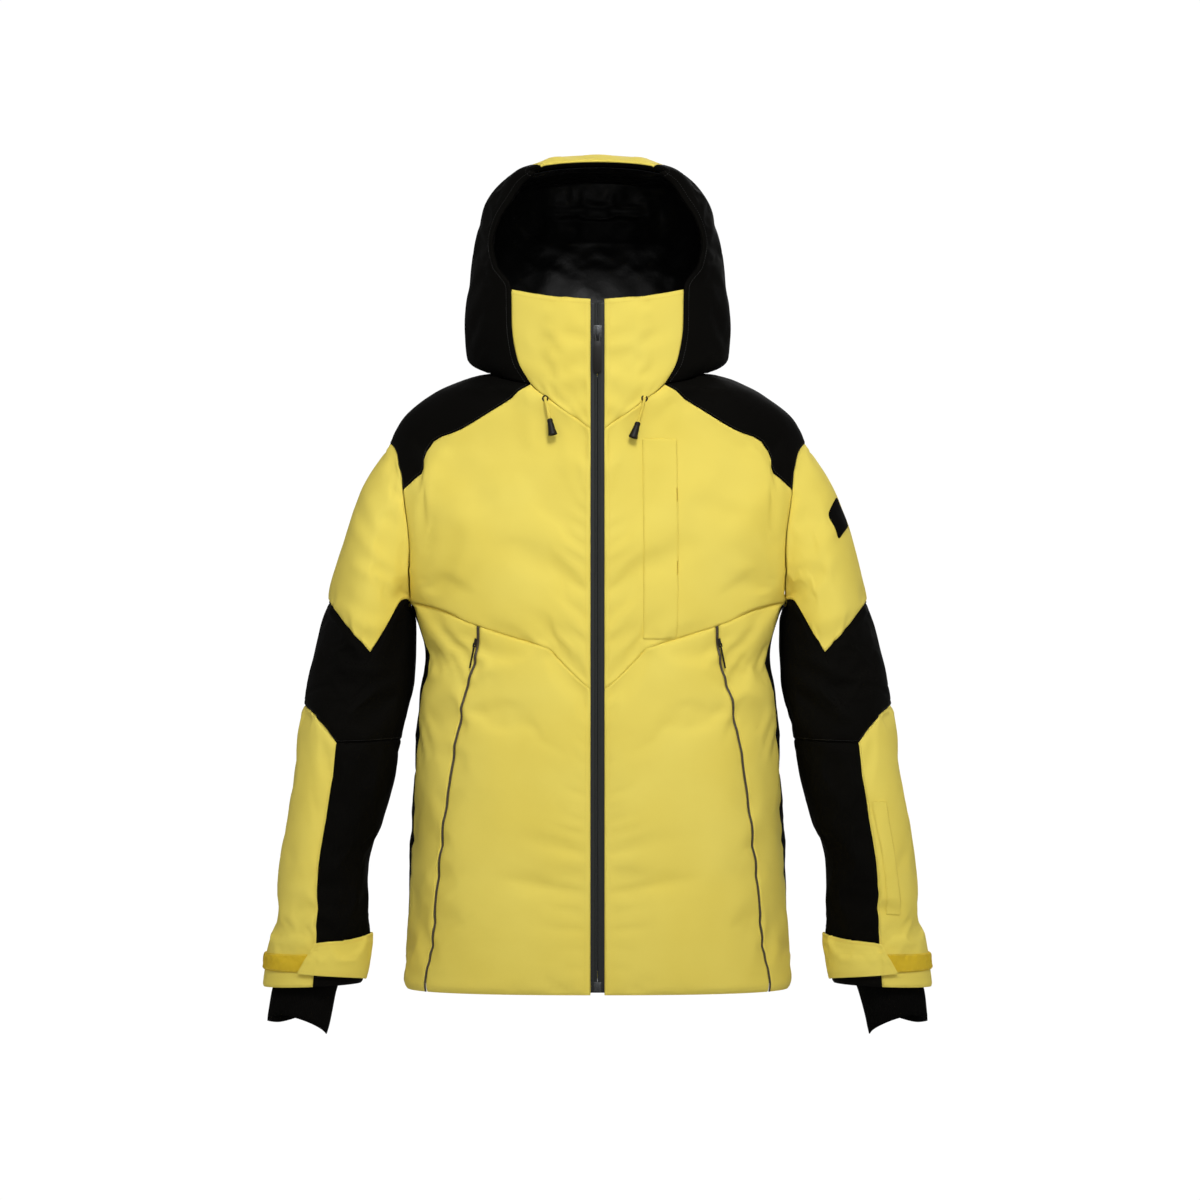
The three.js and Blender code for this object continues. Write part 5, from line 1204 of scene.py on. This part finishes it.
def tape_half(side):
    """One tape with its film: flat at the sewn edge, raised over the coil, split at the middle."""
    x = np.concatenate([0.25 + (COIL_HALF - 0.25) * (1 - np.cos(np.linspace(0, math.pi, 12))) / 2,
                        np.linspace(COIL_HALF + 0.6, TAPE_WIDTH, 5)])
    bulge = np.where(x < COIL_HALF, COIL_BULGE * np.sqrt(np.clip(1 - ((x - 1.72) / 1.48) ** 2, 0, 1)), 0)
    levels = np.linspace(ZIP_FOOT_Z, ZIP_TOP_Z, 420)
    ripple = 0.12 * np.sin(levels * 2 * math.pi / 3.9)
    outer = np.array([[zip_place(side * px, TAPE_FACE - b + r * (b > 0), z) for px, b in zip(x, bulge)]
                      for z, r in zip(levels, ripple)])
    inner = np.array([[zip_place(side * px, TAPE_FACE + TAPE, z) for px in x] for z in levels])
    if side < 0:
        outer, inner = outer[:, ::-1], inner[:, ::-1]
    return add_mesh(f"zip_tape_{'left' if side > 0 else 'right'}_film", *closed_sheet(outer, inner),
                    MATERIALS["zip_tape"])


for side, word in ((1, "left"), (-1, "right")):
    finish(tape_half(side), f"zip_tape_{word}")


def softened(node, bevel, name=None, segments=2):
    """A copy of a CAD piece with its edges rounded."""
    source = frame["nodes"][node]
    mesh = source.data.copy()
    shape = bmesh.new()
    shape.from_mesh(mesh)
    bmesh.ops.remove_doubles(shape, verts=shape.verts, dist=0.01 * MM)
    bmesh.ops.dissolve_limit(shape, angle_limit=2 * DEG, verts=shape.verts, edges=shape.edges)
    sharp = [edge for edge in shape.edges if edge.is_manifold and edge.calc_face_angle() > 25 * DEG]
    bmesh.ops.bevel(shape, geom=sharp, offset=bevel * MM, segments=segments, profile=0.5, affect="EDGES",
                    clamp_overlap=True)
    bmesh.ops.recalc_face_normals(shape, faces=shape.faces)
    shape.to_mesh(mesh)
    shape.free()
    mesh.materials.clear()
    mesh.materials.append(MATERIALS[SLOT_OF[node]])
    mesh.polygons.foreach_set("use_smooth", [True] * len(mesh.polygons))
    piece = bpy.data.objects.new(name or f"{node}_finished", mesh)
    bpy.context.collection.objects.link(piece)
    return finish(piece, node)


softened("main_slider", 0.35)
softened("main_pull", 0.5)
softened("zip_retainer_box", 0.5)
softened("hanging_loop", 0.3)
for word in ("left", "right"):
    softened(f"hand_pocket_slider_{word}", 0.3)
    softened(f"hand_pocket_pull_{word}", 0.3)


# ---- hand pocket piping ----------------------------------------------------------------------------
PIPING_HALF = 1.5


def build_piping(side):
    word = "left" if side > 0 else "right"
    places = piping
    moved = MOVED[("front_lower", side)][:, -1]
    middle = body(places) + (moved if side > 0 else mirror(moved))
    ahead = np.gradient(middle, axis=0)
    step = 0.002
    d_phi = body(places + (step, 0)) - body(places - (step, 0))
    d_z = body(places + (0, 0.5)) - body(places - (0, 0.5))
    normals = np.cross(d_phi, d_z)
    normals /= np.linalg.norm(normals, axis=1, keepdims=True)
    across = np.cross(ahead, normals)
    across /= np.linalg.norm(across, axis=1, keepdims=True)
    turns = np.linspace(0, 2 * math.pi, 13)[:-1]
    rings = []
    for centre, out, over in zip(middle, normals, across):
        rings.append([centre + over * math.cos(a) * PIPING_HALF + out * (0.9 * math.sin(a) - 0.7)
                      for a in turns])
    rings = spline(np.array(rings), np.linspace(0, len(rings) - 1.05, 220), 0)
    if side < 0:
        rings = mirror(rings)
    count, sides = rings.shape[:2]
    faces = [(r * sides + k, r * sides + (k + 1) % sides,
              (r + 1) * sides + (k + 1) % sides, (r + 1) * sides + k)
             for r in range(count - 1) for k in range(sides)]
    faces += [tuple(range(sides))[::-1], tuple((count - 1) * sides + k for k in range(sides))]
    piece = add_mesh(f"hand_pocket_zip_{word}_piping", rings.reshape(-1, 3), faces,
                     MATERIALS["piping_reflective"])
    face_out(piece)
    return finish(piece, f"hand_pocket_zip_{word}")


def face_out(piece):
    shape = bmesh.new()
    shape.from_mesh(piece.data)
    bmesh.ops.recalc_face_normals(shape, faces=shape.faces)
    shape.to_mesh(piece.data)
    shape.free()


build_piping(1)
build_piping(-1)


# ---- drawcords, their ends and eyelets -------------------------------------------------------------
# The same points that the cords' CAD tubes follow.
CORD_ROUTES = {
    "left": [
        (55.6, -106.2, -17.7), (55.9, -107.6, -17.5), (56, -108.9, -17.8), (55.9, -110.1, -18.6),
        (55.7, -111, -20), (55.3, -111.5, -21.8), (54.8, -111.8, -24), (54.2, -111.9, -26.4),
        (53.5, -112, -29), (52.8, -112.1, -31.7), (52, -112.3, -34.5), (51.2, -112.6, -37.4),
        (50.3, -112.9, -40.4), (49.2, -113.3, -43.8), (48, -113.8, -47.4)],
    "right": [
        (-61.7, -105, -17.6), (-62.1, -106.6, -17.4), (-62.3, -108.2, -17.8), (-62.2, -109.5, -18.7),
        (-62, -110.4, -20.1), (-61.6, -111, -21.8), (-61.1, -111.3, -23.7), (-60.6, -111.5, -25.8),
        (-60.1, -111.7, -28), (-59.6, -111.9, -30.3), (-59.1, -112.1, -32.7), (-58.5, -112.4, -35.2),
        (-58, -112.7, -37.8), (-57.4, -113, -40.5), (-56.8, -113.4, -43.4)]}
BELL = [(0.0, 1.2), (1.9, 1.2), (2.9, 0.6), (3.4, -0.8), (3.5, -2.6), (3.3, -3.2), (3.3, -4.2), (3.6, -4.8),
        (3.9, -8), (4.5, -13), (5.1, -16), (5.5, -17.6), (5.4, -18.6), (4.8, -19), (3.9, -18.8), (3.6, -17.4),
        (2.0, -17), (0.0, -17)]


def turned_shape(name, profile, sides, material):
    """A shape turned about its own axis from (radius, height) pairs that start and end on it."""
    points, faces = [], []
    for radius, height in profile[1:-1]:
        points += [(radius * math.cos(2 * math.pi * k / sides),
                    radius * math.sin(2 * math.pi * k / sides), height) for k in range(sides)]
    rings = len(profile) - 2
    for r in range(rings - 1):
        faces += [(r * sides + k, r * sides + (k + 1) % sides, (r + 1) * sides + (k + 1) % sides,
                   (r + 1) * sides + k) for k in range(sides)]
    points += [(0, 0, profile[0][1]), (0, 0, profile[-1][1])]
    top, foot = len(points) - 2, len(points) - 1
    faces += [(top, (k + 1) % sides, k) for k in range(sides)]
    faces += [(foot, (rings - 1) * sides + k, (rings - 1) * sides + (k + 1) % sides) for k in range(sides)]
    piece = add_mesh(name, points, faces, material)
    face_out(piece)
    return piece


def placed(piece, place, heading):
    """Moves a piece's mesh so that its -Z axis points along heading from place, in millimetres."""
    turn = Vector((0, 0, -1)).rotation_difference(Vector(heading))
    for vertex in piece.data.vertices:
        vertex.co = turn @ vertex.co + Vector(place) * MM
    return piece


def ring_shape(name, centre, normal, radius, tube, material, around=40, section=12):
    normal = Vector(normal).normalized()
    first = normal.orthogonal().normalized()
    second = normal.cross(first)
    points = []
    for k in range(around):
        a = 2 * math.pi * k / around
        out = first * math.cos(a) + second * math.sin(a)
        for m in range(section):
            b = 2 * math.pi * m / section
            points.append(Vector(centre) + out * (radius + tube * math.cos(b))
                          + normal * tube * 0.8 * math.sin(b))
    faces = [(k * section + m, (k + 1) % around * section + m, (k + 1) % around * section + (m + 1) % section,
              k * section + (m + 1) % section) for k in range(around) for m in range(section)]
    piece = add_mesh(name, [tuple(p) for p in points], faces, material)
    face_out(piece)
    return piece


def build_cord(word):
    route = np.array(CORD_ROUTES[word])
    line = smooth_path(route, 4)
    data = bpy.data.curves.new(f"drawcord_{word}_braid", "CURVE")
    data.dimensions = "3D"
    data.bevel_depth = CORD / 2 * MM
    data.bevel_resolution = 4
    data.use_fill_caps = True
    spline_ = data.splines.new("POLY")
    spline_.points.add(len(line) - 1)
    spline_.points.foreach_set("co", np.column_stack([line * MM, np.ones(len(line))]).ravel())
    data.materials.append(MATERIALS["cord_yellow"])
    cord = bpy.data.objects.new(f"drawcord_{word}_braid", data)
    bpy.context.collection.objects.link(cord)
    finish(cord, f"drawcord_{word}")
    bell = turned_shape(f"cord_end_{word}_bell", BELL, 32, MATERIALS["soft_black"])
    placed(bell, route[-1], route[-1] - route[-2])
    finish(bell, f"cord_end_{word}")


for word in ("left", "right"):
    build_cord(word)
    low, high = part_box(f"eyelet_{word}")
    centre = [(a + b) / 2 / MM for a, b in zip(low, high)]
    seat = on_front(abs(centre[0]), -18)
    out = np.cross(body(seat + (0.002, 0)) - body(seat - (0.002, 0)),
                   body(seat + (0, 0.5)) - body(seat - (0, 0.5)))
    if centre[0] < 0:
        out[0] = -out[0]
    ring = ring_shape(f"eyelet_{word}_ring", centre, out, 3.15, 0.95, MATERIALS["soft_black"])
    finish(ring, f"eyelet_{word}")


# ---- stitching -----------------------------------------------------------------------------------------
def add_socket(tree, name, kind, default=None):
    item = tree.interface.new_socket(name=name, in_out="INPUT", socket_type=kind)
    if default is not None:
        item.default_value = default
    return item.identifier


def stitch_tree():
    """Round-ended stitches along every curve that it is given."""
    tree = bpy.data.node_groups.new("stitches", "GeometryNodeTree")
    sockets = {"Lines": add_socket(tree, "Lines", "NodeSocketGeometry")}
    for name, default in (("Pitch", 0.003), ("Length", 0.0022), ("Thickness", 0.0006)):
        sockets[name] = add_socket(tree, name, "NodeSocketFloat", default)
    sockets["Thread"] = add_socket(tree, "Thread", "NodeSocketMaterial")
    tree.interface.new_socket(name="Stitches", in_out="OUTPUT", socket_type="NodeSocketGeometry")
    node = lambda kind: tree.nodes.new(kind)
    given, made = node("NodeGroupInput"), node("NodeGroupOutput")
    spaced = node("GeometryNodeResampleCurve")
    spaced.mode = "LENGTH"
    spots = node("GeometryNodeCurveToPoints")
    spots.mode = "EVALUATED"
    grain = node("GeometryNodeMeshUVSphere")
    grain.inputs["Segments"].default_value = 6
    grain.inputs["Rings"].default_value = 4
    grain.inputs["Radius"].default_value = 0.5
    size = node("ShaderNodeCombineXYZ")
    shaped = node("GeometryNodeTransform")
    aimed = node("FunctionNodeAlignRotationToVector")
    aimed.axis = "Z"
    copies = node("GeometryNodeInstanceOnPoints")
    real = node("GeometryNodeRealizeInstances")
    painted = node("GeometryNodeSetMaterial")
    link = tree.links.new
    link(given.outputs["Lines"], spaced.inputs["Curve"])
    link(given.outputs["Pitch"], spaced.inputs["Length"])
    link(spaced.outputs["Curve"], spots.inputs["Curve"])
    for axis, name in (("X", "Thickness"), ("Y", "Thickness"), ("Z", "Length")):
        link(given.outputs[name], size.inputs[axis])
    link(grain.outputs["Mesh"], shaped.inputs["Geometry"])
    link(size.outputs["Vector"], shaped.inputs["Scale"])
    link(spots.outputs["Tangent"], aimed.inputs["Vector"])
    link(spots.outputs["Points"], copies.inputs["Points"])
    link(shaped.outputs["Geometry"], copies.inputs["Instance"])
    link(aimed.outputs["Rotation"], copies.inputs["Rotation"])
    link(copies.outputs["Instances"], real.inputs["Geometry"])
    link(real.outputs["Geometry"], painted.inputs["Geometry"])
    link(given.outputs["Thread"], painted.inputs["Material"])
    link(painted.outputs["Geometry"], made.inputs["Stitches"])
    return tree, sockets


STITCH_TREE, STITCH_SOCKETS = stitch_tree()


def sew(name, lines, thread, body_name="jacket", pitch=3.0, length=2.3, thickness=0.55):
    """Stitches along lines in millimetres, as one plain mesh that rides with a body."""
    data = bpy.data.curves.new(name, "CURVE")
    data.dimensions = "3D"
    for line in lines:
        run = data.splines.new("POLY")
        run.points.add(len(line) - 1)
        run.points.foreach_set("co", np.column_stack([np.asarray(line) * MM, np.ones(len(line))]).ravel())
    guide = bpy.data.objects.new(f"{name}_guide", data)
    bpy.context.collection.objects.link(guide)
    modifier = guide.modifiers.new("stitches", "NODES")
    modifier.node_group = STITCH_TREE
    values = {"Pitch": pitch * MM, "Length": length * MM, "Thickness": thickness * MM, "Thread": thread}
    for key, value in values.items():
        modifier[STITCH_SOCKETS[key]] = value
    bpy.context.view_layer.update()
    evaluated = guide.evaluated_get(bpy.context.evaluated_depsgraph_get())
    mesh = bpy.data.meshes.new_from_object(evaluated)
    mesh.name = name
    bpy.data.objects.remove(guide)
    piece = bpy.data.objects.new(name, mesh)
    bpy.context.collection.objects.link(piece)
    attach(piece, body_name)
    return piece


EDGES = {"bottom": 0, "top": 1, "left": 2, "right": 3}


def edge_line(piece, edge, inset, margin=(2, 2), sunk=0.1):
    """A line on a finished sheet's face, inset from one of its edges in millimetres."""
    outer, normals, distances = FACES[piece]
    reach = distances[EDGES[edge]]
    surface = outer + normals * sunk
    if edge in ("left", "right"):
        surface, reach = surface.transpose(1, 0, 2), reach.T
    if edge in ("top", "right"):
        surface, reach = surface[::-1], reach[::-1]
    line = np.stack([[np.interp(inset, reach[:, c], surface[:, c, k]) for k in range(3)]
                     for c in range(surface.shape[1])])
    run = np.concatenate([[0], np.cumsum(np.linalg.norm(np.diff(line, axis=0), axis=1))])
    kept = (run >= margin[0]) & (run <= run[-1] - margin[1])
    return line[kept]


YELLOW_LINES = [
    ("chest", "bottom", 3.0), ("chest", "left", 7.0), ("front_lower", "left", 7.0), ("collar", "left", 7.0),
    ("collar", "top", 6.0), ("collar", "right", 3.0), ("front_lower", "right", 3.0),
    ("front_side", "left", 3.0), ("forearm", "left", 3.0), ("forearm", "right", 3.0),
    ("forearm", "top", 12.0), ("upper_sleeve", "top", 3.0)]
BLACK_LINES = [
    ("shoulder_yoke", "bottom", 3.0), ("shoulder_yoke", "right", 3.0), ("side_panel", "left", 3.0),
    ("hood_side", "left", 3.0), ("hood_side", "right", 7.0), ("hood_side", "top", 7.0),
    ("elbow_panel", "top", 3.0), ("forearm_under", "top", 12.0)]
both = lambda rows: [edge_line(f"{panel}_{word}_cloth", edge, inset)
                     for panel, edge, inset in rows for word in ("left", "right")]
sew("topstitch_yellow", both(YELLOW_LINES) + [
    edge_line("hood_center_cloth", "left", 3.0), edge_line("hood_center_cloth", "right", 3.0),
    edge_line("hood_center_cloth", "top", 7.0), edge_line("back_panel_cloth", "top", 3.0),
    edge_line("chest_pocket_placket_cloth", "right", 2.2),
    edge_line("chest_pocket_placket_cloth", "left", 2.2),
    edge_line("sleeve_pocket_welt_cloth", "left", 2.0),
    edge_line("sleeve_pocket_welt_cloth", "right", 2.0)],
    THREAD_YELLOW)
sew("topstitch_black", both(BLACK_LINES) + [edge_line("back_yoke_cloth", "bottom", 3.0)],
    THREAD_BLACK)
for word in ("left", "right"):
    sew(f"topstitch_flap_{word}", [edge_line(f"cuff_flap_{word}_cloth", edge, 4.0, (4, 4))
                                   for edge in ("bottom", "top", "right")],
        THREAD_YELLOW, f"cuff_flap_{word}")
    sew(f"strip_stitch_{word}", [edge_line(f"cuff_loop_strip_{word}_cloth", edge, 1.6)
                                 for edge in ("bottom", "top")], THREAD_YELLOW)

# Bartacks at the ends of the chest pocket, on the placket's outer edge.
tack_line = edge_line("chest_pocket_placket_cloth", "right", 1.5, (0, 0), 0.3)
sew("bartacks", [tack_line[(tack_line[:, 2] > low) & (tack_line[:, 2] < high)]
                 for low, high in ((-141, -125), (-228, -211))],
    THREAD_YELLOW, pitch=0.9, length=0.8, thickness=2.2)

# The interlocked coil, seen in the split between the two films.
coil_line = [zip_place(0, TAPE_FACE - 0.2, z) for z in np.linspace(ZIP_FOOT_Z + 12, ZIP_TOP_Z - 4, 60)]
sew("zip_coil", [coil_line], MATERIALS["zip_tape"], pitch=1.3, length=0.9, thickness=1.5)


# ---- studio -------------------------------------------------------------------------------------------
FLOOR_Z = -1.30
FLOOR_RADIUS = 2.0


def add_floor():
    count = 96
    points = [(FLOOR_RADIUS / MM * math.cos(2 * math.pi * k / count),
               FLOOR_RADIUS / MM * math.sin(2 * math.pi * k / count), FLOOR_Z / MM) for k in range(count)]
    floor = add_mesh("floor", points, [tuple(range(count))],
                     plain_material("floor_pale", (0.88, 0.88, 0.88), (0.9, 0.9, 0.9), 0.9, grain=3.0), False)


def add_area(name, place, target, size, power, spread=180):
    data = bpy.data.lights.new(name, "AREA")
    data.size = size
    data.energy = power
    data.spread = spread * DEG
    lamp = bpy.data.objects.new(name, data)
    lamp.location = place
    lamp.rotation_euler = (Vector(target) - Vector(place)).to_track_quat("-Z", "Y").to_euler()
    bpy.context.collection.objects.link(lamp)


def add_world(seen, cast):
    """A white surround that lights the jacket less than it shows."""
    world = bpy.data.worlds.new("studio")
    world.use_nodes = True
    tree = world.node_tree
    background = tree.nodes["Background"]
    background.inputs["Color"].default_value = (1, 1, 1, 1)
    path = tree.nodes.new("ShaderNodeLightPath")
    mix = tree.nodes.new("ShaderNodeMapRange")
    mix.inputs["To Min"].default_value = cast
    mix.inputs["To Max"].default_value = seen
    tree.links.new(path.outputs["Is Camera Ray"], mix.inputs["Value"])
    tree.links.new(mix.outputs["Result"], background.inputs["Strength"])
    bpy.context.scene.world = world


add_floor()
add_world(1.02, 0.31)
add_area("key", (0.4, -3.2, 2.2), (0.02, -0.1, 0.02), 1.1, 4.3, 34)
add_area("fill", (1.9, -3.4, 0.6), (0, 0, -0.2), 2.4, 19)
add_area("side", (-2.2, -3.0, 0.8), (0, 0, -0.2), 2.4, 12)
add_area("back", (0.6, 3.2, 1.6), (0, 0, -0.2), 2.2, 45)
bpy.context.scene.view_settings.view_transform = "Standard"
